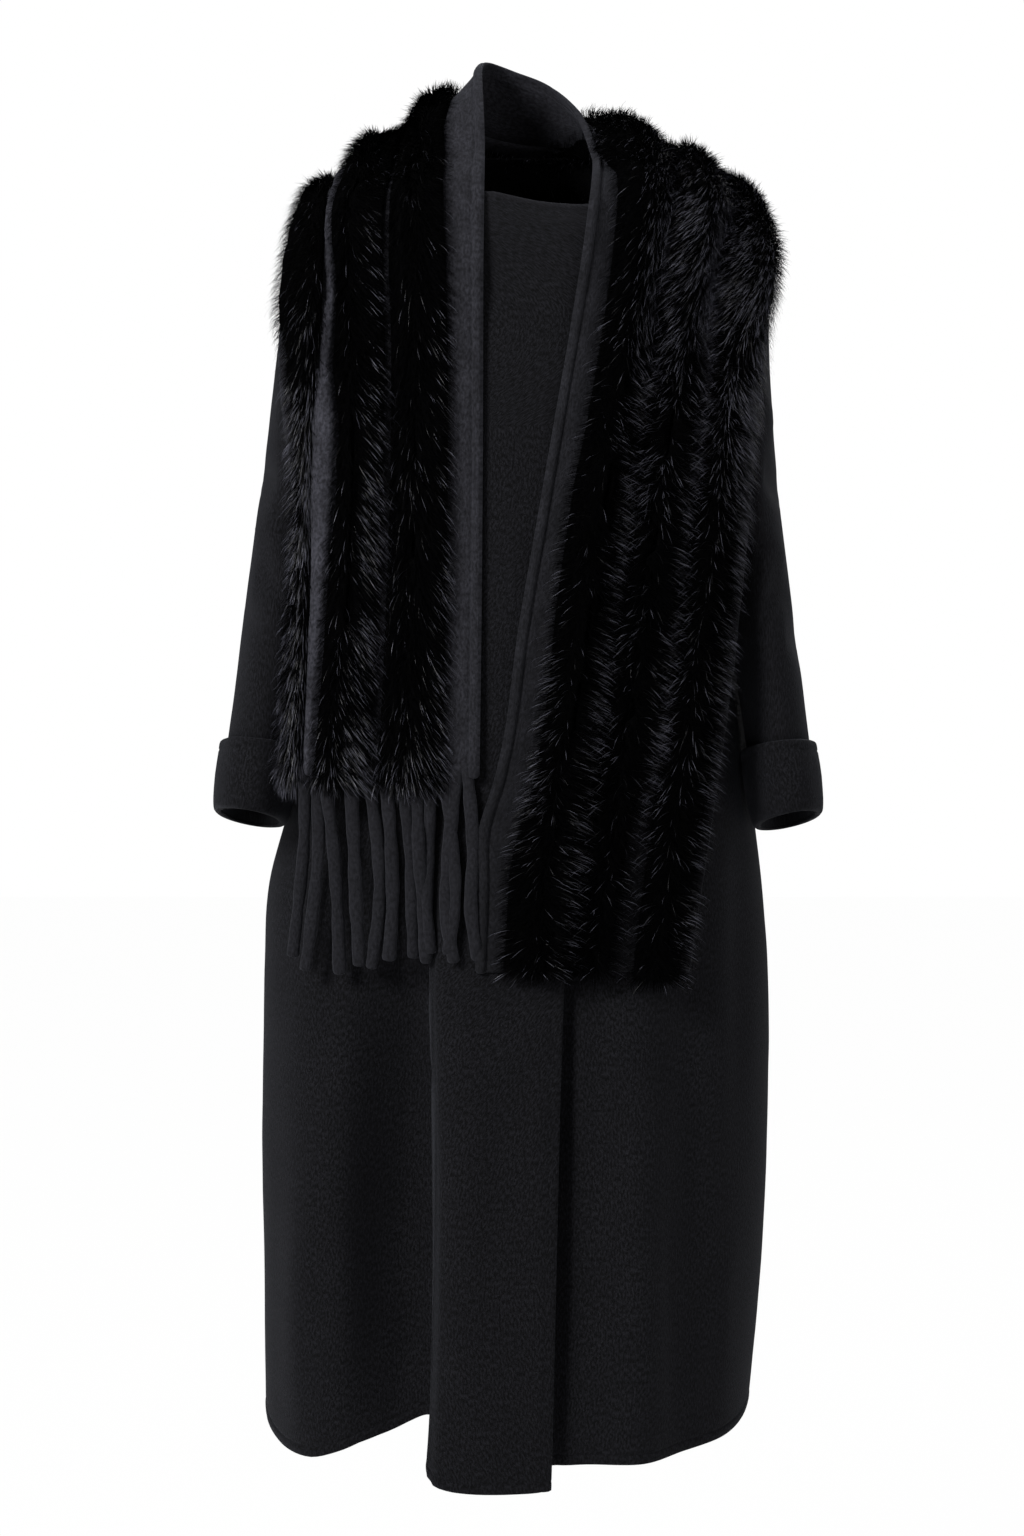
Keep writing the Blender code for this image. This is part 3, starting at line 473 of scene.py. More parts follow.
def rest_on(points, tree, clearance):
    """Moves a grid of points out until the points, and the cloth between them, clear the tree."""
    for turns_left in (3, 2, 1, 0):
        for i in np.ndindex(points.shape[:2]):
            off, normal = height_over(tree, points[i])
            if off < clearance:
                points[i] += normal * (clearance - off)
        if turns_left:
            relaxed = points.copy()
            relaxed[1:-1] += 0.25 * (points[:-2] + points[2:] - 2 * points[1:-1])
            relaxed[:, 1:-1] += 0.15 * (points[:, :-2] + points[:, 2:] - 2 * points[:, 1:-1])
            points = relaxed
    enough = clearance * 0.85
    for _ in range(3):
        for i, j in np.ndindex(points.shape[0] - 1, points.shape[1] - 1):
            corners = ((i, j), (i, j + 1), (i + 1, j), (i + 1, j + 1))
            for share in (0.5, 0.25, 0.75):
                for a, b in ((0, 1), (0, 2), (0, 3), (1, 2), (2, 3), (1, 3)):
                    first, second = corners[a], corners[b]
                    middle = points[first] * (1 - share) + points[second] * share
                    off, normal = height_over(tree, middle)
                    if off < enough:
                        points[first] += normal * (enough - off)
                        points[second] += normal * (enough - off)
    return points


def settle(points, normals, tree):
    """Lets the shawl down until the underside of its cloth all but touches the coat."""
    under = (points - normals * CLOTH).reshape(-1, 3)
    faces = grid_faces(*points.shape[:2])
    clear, touching = 0.0, 10 * MM
    for _ in range(12):
        drop = (clear + touching) / 2
        lowered = BVHTree.FromPolygons((under - np.array([0, 0, drop])).tolist(), faces)
        if lowered.overlap(tree):
            touching = drop
        else:
            clear = drop
    points[..., 2] -= clear - SEAT_GAP
    return points


# ---- finer grain of the same form

# how far from an edge the fine columns and rows lie before they take their usual spacing
EDGE_STEPS = np.array((0.0, 1.2, 2.6, 4.2, 5.8, 7.0, 8.0, 9.0, 10.4, 12.5, 16.0, 21.0)) * MM
SEAM_STEPS = np.array((0.0, 1.2, 2.6, 4.4, 7.0, 10.5)) * MM
FINE_ARMHOLE_STEPS = 40
SKIRT_STEP, SLEEVE_STEP = 9.5 * MM, 7.5 * MM
PRESS_IN = 8.0 * MM         # the pressed line runs this far inside a finished edge
PRESS_DEPTH, PRESS_HALF, EDGE_ROUND = 0.75 * MM, 1.1 * MM, 0.45 * MM
SEAM_SINK, SEAM_REACH = 0.55 * MM, 4.5 * MM
FADE, TOP_FADE = 0.030, 0.040   # creases die out this far from a sewn edge and from the top
USUAL_HEM_Z = -1.135        # the height that the rows are spread for
# unevenness of the cloth: its height, how much its hills are drawn out downwards, their size
UNEVEN = ((0.0007, 0.45, 0.045), (0.0003, 0.6, 0.017))
PANEL_SEED = {"front_right": 3, "front_left": 4, "back": 5}
SLEEVE_SEED = {"right": 11, "left": 12}
SLEEVE_UNEVEN, SLEEVE_HILLS = 0.0006, 0.035
# the right front's deep fold: x of its floor and crest, below which height it is tucked and over
# what height that starts, how deep the face is tucked, how far the crest and cloth beside it go out
FLOOR_X, CREST_X, TUCK_Z, TUCK_OVER = -0.104, -0.066, -0.62, 0.12
TUCK, CREST_OUT, BESIDE_OUT = 0.019, 0.0045, 0.009
# how far the neckline dips below a level line: x, depth
NECK_DIP = metres((-40, 0), (-28, 0), (12, 8.4), (40, 10.4), (110, 10.4))
# soft creases of each panel: from x, z to x, z, half width, height
CREASES = {
    "front_right": metres(
        (-150, -640, -205, -930, 16, -3), (-215, -560, -228, -780, 11, 2.2),
        (-180, -950, -195, -1110, 12, -1.6), (-112, -1010, -126, -1128, 10, -2.2),
        (-50, -760, -60, -1080, 14, 1.4), (-10, -720, -26, -1060, 13, -1.4),
        (0, -180, 10, -420, 16, -1.8), (-60, -980, -30, -1150, 10, 1.1),
        (-113, -680, -124, -1130, 28, -23), (-84, -670, -82, -1200, 21, -11.5),
        (-44, -700, -46, -1190, 18, 3.5), (-166, -700, -213, -1100, 20, 4),
        (12, -740, 10, -1170, 12, 2.6),
    ),
    "front_left": metres(
        (60, -760, 52, -1100, 14, -2.2), (95, -800, 100, -1110, 15, 1.8),
        (140, -700, 150, -1060, 13, -2), (190, -560, 186, -900, 12, -2.6),
        (178, -950, 172, -1100, 9, 1.6), (120, -900, 128, -1130, 8, -1),
        (35, -680, 24, -1175, 7, -15), (104, -700, 98, -1170, 24, 7),
    ),
    "back": metres(
        (-150, -430, -165, -860, 20, -4), (-90, -260, -80, -640, 18, 2.6),
        (-50, -560, -58, -1040, 16, -3.4), (10, -300, 20, -820, 20, -3),
        (60, -520, 66, -1080, 15, 3), (105, -350, 112, -760, 17, -3.4),
        (150, -600, 158, -1060, 14, 2.4), (-120, -850, -126, -1110, 11, 2.2),
        (135, -240, 90, -330, 13, -2.4), (-135, -240, -85, -345, 14, -2.6),
        (35, -900, 28, -1120, 10, -1.8),
    ),
}
# the sleeves' creases: degrees round from the underarm through the front, from and to, distance
# down from the armhole, from and to, then half width and height
SLEEVE_CREASES = {
    "right": metres(
        (20, 60, 50, 120, 13, -5.1), (5, 50, 90, 175, 12, 3.5), (30, 95, 215, 250, 11, -4.8),
        (0, 70, 235, 285, 12, 4.5), (-20, 50, 262, 318, 10, -5.4), (20, 80, 335, 365, 12, -3.2),
        (120, 170, 120, 200, 16, -4.2), (150, 215, 240, 285, 13, 4.2),
        (200, 255, 215, 240, 11, -5.1), (195, 250, 300, 325, 12, -4.2),
        (100, 150, 330, 430, 16, -3.5), (215, 255, 60, 110, 13, -4.5), plain=2,
    ),
    "left": metres(
        (15, 62, 60, 130, 12, -4.8), (8, 66, 110, 190, 14, 3.2), (25, 88, 205, 262, 12, -5.1),
        (-5, 60, 250, 296, 10, 4.2), (-15, 62, 280, 335, 11, -5.1), (35, 90, 350, 400, 14, -3.5),
        (118, 160, 140, 235, 15, -3.8), (140, 205, 270, 300, 12, 3.8),
        (205, 258, 228, 258, 12, -5.1), (185, 245, 330, 350, 13, -3.8),
        (108, 140, 350, 440, 14, -2.9), (222, 258, 75, 125, 12, -4.2), plain=2,
    ),
}
SLEEVE_RADIUS = 0.075       # turns the degrees above into lengths


def fine_levels():
    """Shares of the way from hem to underarm, close together at the hem."""
    height = UNDERARM_Z - USUAL_HEM_Z
    plain = np.arange(0.026, height - 0.004, SKIRT_STEP)
    return np.concatenate([EDGE_STEPS, plain, [height]]) / height


def fine_places(last, between, first_width, last_width, first_steps, last_steps):
    """Places of the fine columns among the named ones, closer together at both edges."""
    first, end = first_steps / first_width, last - last_steps[::-1] / last_width
    middle = np.linspace(first[-1], end[0], between)[1:-1]
    return np.concatenate([first, middle, end])


def pressed(distance):
    """Height of a finished edge: rounded over, then a pressed and stitched line inside it."""
    rounded = EDGE_ROUND * np.sin(math.pi * np.clip(distance / PRESS_IN, 0, 1))
    return rounded - PRESS_DEPTH * np.exp(-(((distance - PRESS_IN) / PRESS_HALF) ** 2))


def sunk(distance):
    """Depth of the valley where two panels are sewn together."""
    return -SEAM_SINK * (1 - ease(distance / SEAM_REACH))


def blurred(values, rounds):
    for _ in range(rounds):
        padded = np.pad(values, 1, mode="edge")
        values = (
            values * 2 + padded[2:, 1:-1] + padded[:-2, 1:-1] + padded[1:-1, 2:] + padded[1:-1, :-2]
        ) / 6
    return values


def pushed_clear(points, normals, tree, clearance, below=9.0, rounds=8):
    """Moves cloth along its normals, inwards if clearance is negative, softly clear of the tree."""
    push = np.zeros(points.shape[:2])
    for i in np.ndindex(push.shape):
        if points[i][2] < below:
            off, _ = height_over(tree, points[i])
            push[i] = max(0.0, abs(clearance) - off) if off > -0.012 else 0.0
    push = np.maximum(push, blurred(push, rounds) * 1.15)
    return points + normals * (push * np.sign(clearance))[..., None]


def undercut(points):
    """How far the face of the right front's deep fold is tucked under its crest."""
    x, y, z = np.moveaxis(points, -1, 0)
    floor, crest = (
        np.array([np.interp(at, row_x, row_y) for row_x, row_y in zip(x, y)])[:, None]
        for at in (FLOOR_X, CREST_X)
    )
    climb = (floor - y) / np.maximum(floor - crest, 0.004)
    near = ease((x + 0.152) / 0.046) * (1 - ease((x + 0.078) / 0.012))
    over = ease((climb - 0.8) / 0.15) * (1 - ease((x + 0.078) / 0.020)) * CREST_OUT
    over = over + BESIDE_OUT * ease((x + 0.135) / 0.030) * (1 - ease((x + 0.050) / 0.060))
    tucked = TUCK * near * (1 - ease((climb - 0.35) / 0.45))
    return ease((TUCK_Z - z) / TUCK_OVER) * (tucked - over)


# ---- the coat


def sleeve_form(side, steps, fine):
    """A sleeve's points ring by ring from the armhole, their normals, and the armhole's own points,
    at the frame's grain or finer. Each ring starts at the underarm and goes up the front."""
    sign = -1 if side == "right" else 1
    seam_turn = math.pi if sign < 0 else 0.0
    away, z = armhole(steps)
    turns = np.concatenate([seam_turn - sign * away, (seam_turn + sign * away)[-2:0:-1]])
    heights = np.concatenate([z, z[-2:0:-1]])
    hole = oval(turns, heights)
    angle = np.linspace(-math.pi / 2, 1.5 * math.pi, 2 * steps + 1)[:-1]
    across, along = np.sin(angle), np.cos(angle)
    rings = [hole]
    for outer_x, outer_z, inner_x, inner_z, y, depth, lift in SLEEVES[side]:
        x = (outer_x + inner_x) / 2 + (outer_x - inner_x) / 2 * across
        up = (outer_z + inner_z) / 2 + (outer_z - inner_z) / 2 * across + lift * along
        rings.append(np.stack([sign * x, y - depth * along, up], -1))
    rings = np.array(rings)
    normals = grid_normals(rings, closed=True)
    mitre = unit(normals_of(oval, turns, heights) + normals[0])
    seam = np.cross(np.roll(hole, -1, axis=0) - np.roll(hole, 1, axis=0), mitre)
    seam = unit(seam) * np.sign(np.sum(seam * (rings[1] - hole), -1, keepdims=True))
    rings[0] = hole + seam * SEAM_GAP
    if fine:
        run = run_along(rings, 0).mean(1)
        usual = np.arange(0.018, run[-1] - 0.004, SLEEVE_STEP)
        rings = refined(rings, np.concatenate([SEAM_STEPS, usual, run[-1:]]), run)
        normals = grid_normals(rings, closed=True)
        down = run_along(rings, 0)
        round_at = angle * SLEEVE_RADIUS + 0 * down
        lines = [
            (math.radians(a) * SLEEVE_RADIUS, high, math.radians(b) * SLEEVE_RADIUS, *rest)
            for a, b, high, *rest in SLEEVE_CREASES[side]
        ]
        rise = creased(lines, round_at, down) + sunk(down)
        rise += SLEEVE_UNEVEN * soft_noise(round_at, down, SLEEVE_HILLS, SLEEVE_SEED[side])
        rise *= np.clip((run[-1] - down) / FADE, 0, 1)
        rings = rings + normals * rise[..., None]
        normals = grid_normals(rings, closed=True)
    normals[0] = mitre
    return rings, normals, hole


def cuff_rows(rings, normals, section, reach, seed=None):
    """The cuff's section carried round the sleeve's end, with the uneven stand of turned-back wool
    if a seed is given. reach is how many rings up the end's direction is taken from."""
    lengths = np.linalg.norm(np.diff(rings.mean(1), axis=0), axis=1)
    from_end = np.concatenate([np.cumsum(lengths[::-1])[::-1], [0.0]])
    below = unit(rings[-1] - rings[-1 - reach])
    turn = np.linspace(0, 2 * math.pi, rings.shape[1] + 1)[:-1]
    rows = []
    for distance, out in section:
        row = np.interp(-distance, -from_end, np.arange(len(rings)))
        low = min(int(row), len(rings) - 2)
        point = rings[low] + (rings[low + 1] - rings[low]) * (row - low)
        facing = unit(normals[low] + (normals[low + 1] - normals[low]) * (row - low))
        stand = np.full(len(turn), out)
        if seed is not None and out > 2.0 * MM:
            share = max(0.0, distance / CUFF_TURN)
            wave = 0.5 + 0.5 * np.sin(2 * turn + seed) * np.cos(turn * 3 + 2.1 * seed)
            uneven = soft_noise(turn * 0.07, np.full(len(turn), distance), 0.02, 40)
            stand = stand + wave * (0.4 + 2.0 * share) * MM
            stand = stand + 0.5 * MM * uneven
        rows.append(point + facing * stand[:, None] - below * min(distance, 0.0))
    return np.array(rows)


# the cuff's sections: distance up from the sleeve's end, how far out it stands. At the frame's
# grain there is only its outside.
CUFF_OUTLINE = metres((62, 3.4), (59, 4.6), (31, 6.1), (3, 4.6), (-1.5, 3.6))
# the whole section goes over the top edge and its pressed line, down the outside, round the fold,
# up inside the sleeve's end and back between sleeve and cuff
CUFF_SECTION = metres(
    (61.6, 0.6), (62.7, 1.7), (62.7, 3), (61.5, 4.2), (59.5, 4.7), (56, 4.9), (54, 4.4), (52, 5.1),
    (42.16, 5.8), (31, 6.2), (19.84, 6), (11.16, 5.6), (6, 5.1), (2, 4.5), (-0.6, 3.7),
    (-2.2, 2.3), (-3, 1.4), (-3.2, -0.8), (-2.6, -2.3), (-1.6, -2.7), (-0.3, -2.6), (-0.3, 0.6),
    (15.5, 0.6), (31, 0.6), (46.5, 0.6),
)
CUFF_FACE = slice(1, 13)    # the rows of the section that are the cuff's outside


def coat_forms(fine):
    """Every panel, sleeve and cuff of the coat as name: (points, normals, closed)."""
    steps = FINE_ARMHOLE_STEPS if fine else ARMHOLE_STEPS
    levels = fine_levels() if fine else SKIRT_LEVELS
    half_gap = -OVERLAP if fine else SEAM_GAP / 2
    section, reach = (CUFF_SECTION[CUFF_FACE], 2) if fine else (CUFF_OUTLINE, 1)
    up_front = list(range(steps + 1))
    up_back = [0, *range(2 * steps - 1, steps - 1, -1)]
    forms, front_edge, back_edge = {}, {}, {}
    for side in SLEEVES:
        rings, facing, hole = sleeve_form(side, steps, fine)
        front_edge[side] = hole[up_front], facing[0, up_front]
        back_edge[side] = hole[up_back], facing[0, up_back]
        forms[f"sleeve_{side}"] = rings, facing, True
        cuff = cuff_rows(rings, facing, section, reach)
        out = np.repeat(facing[-1:], len(cuff), 0) if fine else facing[-len(cuff):]
        forms[f"cuff_{side}"] = cuff, out, True
    sleeves = surface_tree(forms.values())
    right = math.pi, RIGHT_FRONT_COLUMNS, RIGHT_FRONT_EDGE, HEM[4:]
    left = 2 * math.pi, LEFT_FRONT_COLUMNS, LEFT_FRONT_EDGE, HEM_LEFT_FRONT
    panels = (
        ("front_right", folded(RIGHT_FRONT_FOLDS, lap=CLOTH + FRONT_LAP_GAP),
         front_grid(*right, levels, steps), {0: front_edge["right"]}, -half_gap),
        ("front_left", folded(LEFT_FRONT_FOLDS),
         front_grid(*left, levels, steps), {0: front_edge["left"]}, -half_gap),
        ("back", folded(BACK_FOLDS),
         back_grid(levels, steps), {0: back_edge["left"], -1: back_edge["right"]}, half_gap),
    )
    for name, surface, grid, sides, shift in panels:
        places = np.arange(grid.shape[1], dtype=float)
        if fine:
            widths = (96, 0.040, 0.040) if name == "back" else (62, 0.040, 0.022)
            far_steps = SEAM_STEPS if name == "back" else EDGE_STEPS
            places = fine_places(places[-1], *widths, SEAM_STEPS, far_steps)
            grid = refined_across(grid, places, even=True)
        points, normals = panel_points(surface, grid, places, len(levels), sides, shift)
        if fine:
            points, normals = fine_panel(name, points, normals, places, sleeves, sides)
        else:
            points = give_way(points, normals, sleeves)
        forms[name] = points, normals, False
    return forms


def fine_panel(name, points, normals, places, sleeves, sides):
    """A panel with its creases, pressed edges and sewn-in seams."""
    is_back = name == "back"
    seam_side = run_along(points, 1)
    far_side = seam_side[:, -1:] - seam_side
    up_from_hem = run_along(points, 0)
    down_from_top = up_from_hem[-1:] - up_from_hem
    is_neck = (places > SEAM_COLUMNS) & (not is_back or places < places[-1] - SEAM_COLUMNS)
    fade = ease(seam_side / FADE) * (ease(far_side / FADE) if is_back else 1)
    fade = fade * ease(down_from_top / TOP_FADE)
    x, z = points[..., 0], points[..., 2]
    rise = creased(CREASES[name], x, z) * fade
    rise += fade * sum(
        high * soft_noise(x, z * drawn_out, size, PANEL_SEED[name] + more)
        for more, (high, drawn_out, size) in zip((0, 20), UNEVEN)
    )
    rise += sunk(seam_side) + pressed(up_from_hem)
    rise += sunk(far_side) if is_back else pressed(far_side)
    rise += np.where(is_neck[None, :], pressed(down_from_top), sunk(down_from_top))
    moved = points + normals * rise[..., None]
    if name == "front_right":
        moved[..., 0] += undercut(points)
    if not is_back:
        dip = lines_through(NECK_DIP, x) * is_neck[None, :]
        moved[..., 2] -= dip * (1 - ease(down_from_top / 0.034))
    moved = pushed_clear(moved, normals, sleeves, -SLEEVE_CLEAR * 0.8, below=LEAN_Z)
    facing = grid_normals(moved, like=normals)
    for column in sides:
        facing[-FINE_ARMHOLE_STEPS - 1:, column] = normals[-FINE_ARMHOLE_STEPS - 1:, column]
    return moved, facing


# ---- mesh pieces


def linked(name, data):
    made = bpy.data.objects.new(name, data)
    bpy.context.scene.collection.objects.link(made)
    return made


def mesh_piece(name, points, faces, finish, uv, uv_turn=None):
    """A smooth mesh, its faces turned outwards, with cloth lengths in metres as its UV map.
    uv_turn is the length round a tube, so that a face over the join doesn't run back."""
    mesh = bpy.data.meshes.new(name)
    mesh.from_pydata(np.asarray(points).tolist(), [], [tuple(map(int, f)) for f in faces])
    work = bmesh.new()
    work.from_mesh(mesh)
    bmesh.ops.recalc_face_normals(work, faces=work.faces)
    if work.calc_volume(signed=True) < 0:
        bmesh.ops.reverse_faces(work, faces=work.faces)
    work.to_mesh(mesh)
    work.free()
    mesh.shade_smooth()
    mesh.materials.append(finish)
    corner = np.zeros(len(mesh.loops), int)
    mesh.loops.foreach_get("vertex_index", corner)
    at = uv.reshape(-1, 2)[corner]
    if uv_turn:
        size = np.zeros(len(mesh.polygons), int)
        mesh.polygons.foreach_get("loop_total", size)
        face_of = np.repeat(np.arange(len(size)), size)
        top = np.full(len(size), -9.0)
        np.maximum.at(top, face_of, at[:, 0])
        at[:, 0] += np.where(top[face_of] - at[:, 0] > uv_turn / 2, uv_turn, 0)
    layer = mesh.uv_layers.new(name="cloth")
    layer.data.foreach_set("uv", at.astype(np.float32).ravel())
    return linked(name, mesh)


def paired(u, v):
    return np.stack(np.broadcast_arrays(u, v), -1)


def rim_of(rows, columns):
    """Indices of a grid's border in order, those one step inside it, and which side each is on."""
    ids = np.arange(rows * columns).reshape(rows, columns)
    turned = [np.rot90(ids, side)[:2, :-1] for side in range(4)]
    border, inside = np.concatenate(turned, axis=1)
    return border, inside, np.repeat(range(4), [part.shape[1] for part in turned])


def rim_points(outer, inner, inside, roundness):
    """Three lines of points that round a cut edge over from its outer to its inner face."""
    centre, half = (outer + inner) / 2, (outer - inner) / 2
    away = outer - inside
    facing = unit(half)
    away = unit(away - facing * np.sum(away * facing, -1, keepdims=True))
    reach = np.linalg.norm(half, axis=-1, keepdims=True) * roundness[:, None]
    angles = [math.radians(degrees) for degrees in (45, 90, 135)]
    return [centre + away * reach * math.sin(a) + half * math.cos(a) for a in angles]


def cloth_shell(name, outer, normals, thickness, finish, roundness, closed=False, uv=None):
    """A thin closed shell of cloth under a grid of outer points, its cut edges rounded over.
    roundness is for the first row, last column, last row and first column."""
    rows, columns = outer.shape[:2]
    count = total = rows * columns
    flat_out, flat_in = outer.reshape(-1, 3), (outer - normals * thickness).reshape(-1, 3)
    if uv is None:
        uv = paired(run_along(outer, 1), run_along(outer, 0))
    flat_uv = uv.reshape(-1, 2)
    points, lengths = [flat_out, flat_in], [flat_uv, flat_uv]
    faces = [quads(rows, columns, 0, closed), quads(rows, columns, count, closed)[:, ::-1]]
    turn = None
    if closed:
        first, last = np.arange(columns), (rows - 1) * columns + np.arange(columns)
        loops = [(first, first + columns, roundness[0]), (last, last - columns, roundness[2])]
        turn = float(np.mean(np.linalg.norm(np.roll(outer, -1, axis=1) - outer, axis=-1).sum(1)))
    else:
        border, inside, side = rim_of(rows, columns)
        loops = [(border, inside, np.array(roundness, float)[side])]
    total += count
    for border, inside, soft in loops:
        soft = np.broadcast_to(np.asarray(soft, float), border.shape)
        points += rim_points(flat_out[border], flat_in[border], flat_out[inside], soft)
        between = [total + k * len(border) + np.arange(len(border)) for k in range(3)]
        ids = [border, *between, border + count]
        for a, b in zip(ids, ids[1:]):
            faces.append(np.stack([a, np.roll(a, -1), np.roll(b, -1), b], -1))
        lengths += [flat_uv[border]] * 3
        total += 3 * len(border)
    points, faces, lengths = (np.concatenate(values) for values in (points, faces, lengths))
    return mesh_piece(name, points, faces, finish, lengths, turn)


# ---- the shawl's cloth

WELT = 8.4 * MM             # the rolled edge of the shawl's band
WELT_RISE = 2.5 * MM
BAND_FOLD = 9.0 * MM        # the band's turned-up hem at the shawl's ends
ROW_STEP, COLUMN_STEP = 7.5 * MM, 5.2 * MM
RIDGE_AT = RIDGE * SHAWL_WIDTH
# where the fine rows lie at the shawl's ends, and the fine columns from its inner edge and at the
# ridge, in millimetres
END_ROWS = np.array([1.5, 3.5, 6, 8, 9, 10, 11.5])
EDGE_COLUMNS = np.array(
    [0, 0.7, 1.6, 2.7, 3.8, 4.9, 5.9, 6.7, 7.3, 8.0, 8.8, 10.0, 12.0, 15.0, 19.0, 24.0, 29.0]
)
RIDGE_COLUMNS = np.array([-9.5, -8.2, -7.2, -6, -4.5, -2.5, 0, 2.5, 4.5, 6, 7.2, 8.2, 9.5])
# the rolled ridge of bare wool between the second and third strips: row of the shawl, its height
# and half its width
RIDGE_ROLL = metres(
    (0, 6, 3.6), (0.8, 8, 5), (1.6, 10, 6.6), (2.2, 11.5, 8.5), (2.9, 12, 10.5), (3.3, 11.5, 10),
    (3.7, 9.5, 5.2), (4.5, 8.5, 3.2), (6.4, 8, 2.8), (7.6, 5, 3), (9, 0, 4), (22, 0, 4), plain=1,
)
# how far the band's edge drifts from the shawl's own line: row, sideways and up
EDGE_DRIFT = metres(
    (0, 0, 0), (9.6, 0, 0), (10.6, 0, 0), (11.6, 0, -10), (12, 0, -17), (12.6, 0, -25),
    (13, 0, -26), (13.6, 0, -17), (14.3, 0, -4), (15, 0, 0), (18, -3, 0), (18.8, -5, 0),
    (19.8, -5, 0), (20.1, -8, 0), (20.6, -17, 0), (21.1, -13, 0), (22, -10, 0), plain=1,
)


def shawl_form(coarse):
    """The shawl's own points at the frame's grain, its rows' numbers and its columns' shares of
    the width: at the edges and middles of its band and fur strips."""
    tree = surface_tree(coarse.values())
    strips = [start + FUR_STRIP * half for start in STRIP_STARTS for half in (0, 0.5, 1)]
    share = np.array([0, BAND / 2, *strips, SHAWL_WIDTH]) / SHAWL_WIDTH
    rows = [*range(CLOSE_ROWS[0]), *np.arange(*CLOSE_ROWS, 0.5), *range(CLOSE_ROWS[1], len(SHAWL))]
    rows = np.array(rows, float)
    points = rest_on(shawl_rows(rows, share), tree, SHAWL_CLEAR + CLOTH)
    return settle(points, grid_normals(points), tree), rows, share


def fine_shawl(points, rows, share, fine_tree):
    """The shawl at a finer grain, with its rolled edge: points, normals, rows, shares, lengths
    along it and thickness."""
    walked = run_along(points, 0).mean(1)
    row_at = np.unique(np.round(np.concatenate([
        np.interp(np.arange(0, walked[-1], ROW_STEP), walked, rows),
        np.interp(END_ROWS * MM, walked, rows),
        np.interp(walked[-1] - END_ROWS * MM, walked, rows),
        STRETCHES["neck"], rows[-1:],
    ]), 5))
    across = np.concatenate([
        EDGE_COLUMNS * MM,
        np.arange(BAND + 2 * MM, RIDGE_AT - 11 * MM, COLUMN_STEP),
        RIDGE_AT + RIDGE_COLUMNS * MM,
        np.arange(RIDGE_AT + 13 * MM, SHAWL_WIDTH - 4 * MM, COLUMN_STEP),
        [SHAWL_WIDTH - 2.5 * MM, SHAWL_WIDTH],
    ])
    share_at = across / SHAWL_WIDTH
    fine = refined_across(refined(points, row_at, rows), share_at, share)
    drift = curve_through(EDGE_DRIFT, row_at)
    near_edge = (1 - ease(across / 0.048))[None, :]
    fine[..., 0] += drift[:, :1] * near_edge
    fine[..., 2] += drift[:, 1:] * near_edge
    facing = grid_normals(fine)
    along = run_along(fine, 0)
    rise = 0.0009 * soft_noise(along, across * 2, 0.05, 31)
    rise = rise + 0.0004 * soft_noise(along, across * 2, 0.018, 32)
    fine = fine + facing * (rise * ease(across / 0.012))[..., None]
    fine = pushed_clear(fine, facing, fine_tree, CLOTH + 0.9 * MM, rounds=4)
    facing = grid_normals(fine)
    inside = np.clip(across / WELT, 0, 1)
    welt = WELT_RISE * np.sqrt(np.maximum(0, 1 - (2 * inside - 1) ** 2)) * (across < WELT)
    welt = welt * (1 + 0.16 * soft_noise(along, across * 0, 0.012, 33))
    groove = 0.8 * MM * np.exp(-(((across - WELT - 0.5 * MM) / (1.0 * MM)) ** 2))
    hem = np.minimum(along, along[-1:] - along)
    fold = 0.7 * MM * np.sin(math.pi * np.clip(hem / BAND_FOLD, 0, 1))
    fold -= 0.6 * MM * np.exp(-(((hem - BAND_FOLD) / (1.0 * MM)) ** 2))
    high, half = (np.interp(row_at, RIDGE_ROLL[:, 0], RIDGE_ROLL[:, k])[:, None] for k in (1, 2))
    wavy = RIDGE_AT + 1.2 * MM * soft_noise(along, across * 0, 0.030, 35)
    round_over = np.sqrt(np.maximum(0, 1 - ((across - wavy) / half) ** 2))
    ridge = high * round_over * (1 + 0.14 * soft_noise(along, across * 3, 0.020, 34))
    fine = fine + facing * (welt - groove + fold + ridge)[..., None]
    thickness = CLOTH + welt * 1.15 + ridge * 0.9
    return fine, facing, row_at, share_at, along, thickness


def rows_of(stretch, row_at):
    first, last = STRETCHES[stretch]
    return np.flatnonzero((row_at >= first - 1e-6) & (row_at <= last + 1e-6))


def stretch_pieces(form, finish):
    """The shawl's cloth as one piece for each stretch that the frame has."""
    fine, facing, row_at, share_at, along, thickness = form
    uv = paired(share_at * SHAWL_WIDTH, along)
    made = {}
    for name in STRETCHES:
        part = rows_of(name, row_at)
        ends = float(name == "right"), 1.0, float(name == "left"), 1.0
        made[name] = cloth_shell(
            f"shawl_cloth_{name}", fine[part], facing[part], thickness[part][..., None], finish,
            ends, uv=uv[part],
        )
    return made


# ---- the fur

UNDERFUR = 0.56             # the dense underfur's height as a share of the whole pile
UNDERFUR_LIFT = 0.5 * MM
SECTION_POINTS, CREST_POINT = 17, 8
PELT_ROUND = 0.14           # length round a pelt
STRETCH_SEED = {"right": 0, "neck": 100, "left": 200}
# how much fuller than usual the pile stands over the shoulders: row of the shawl, factor
FULLER = np.array((
    (0, 1.0), (5.5, 1.0), (6.8, 1.25), (8.5, 1.25), (9.5, 1.0), (12, 1.0), (13, 1.2), (14.3, 1.2),
    (15.5, 1.0), (22, 1.0),
))
# how far the first strip's fur hides the band beside it: row of the shawl, reach
BAND_COVER = metres(
    (0, 6), (5, 6), (6, -1), (6.6, -5), (7.2, 1), (9, 3), (11, 8), (12, 18), (13, 24), (13.7, 21),
    (14.2, 10), (14.7, 8), (16, 4), (17, 5), (17.6, 8), (18.6, 7), (19, 5), (19.4, 4), (20, 4),
    (20.6, 8), (21, 12), (22, 12), plain=1,
)
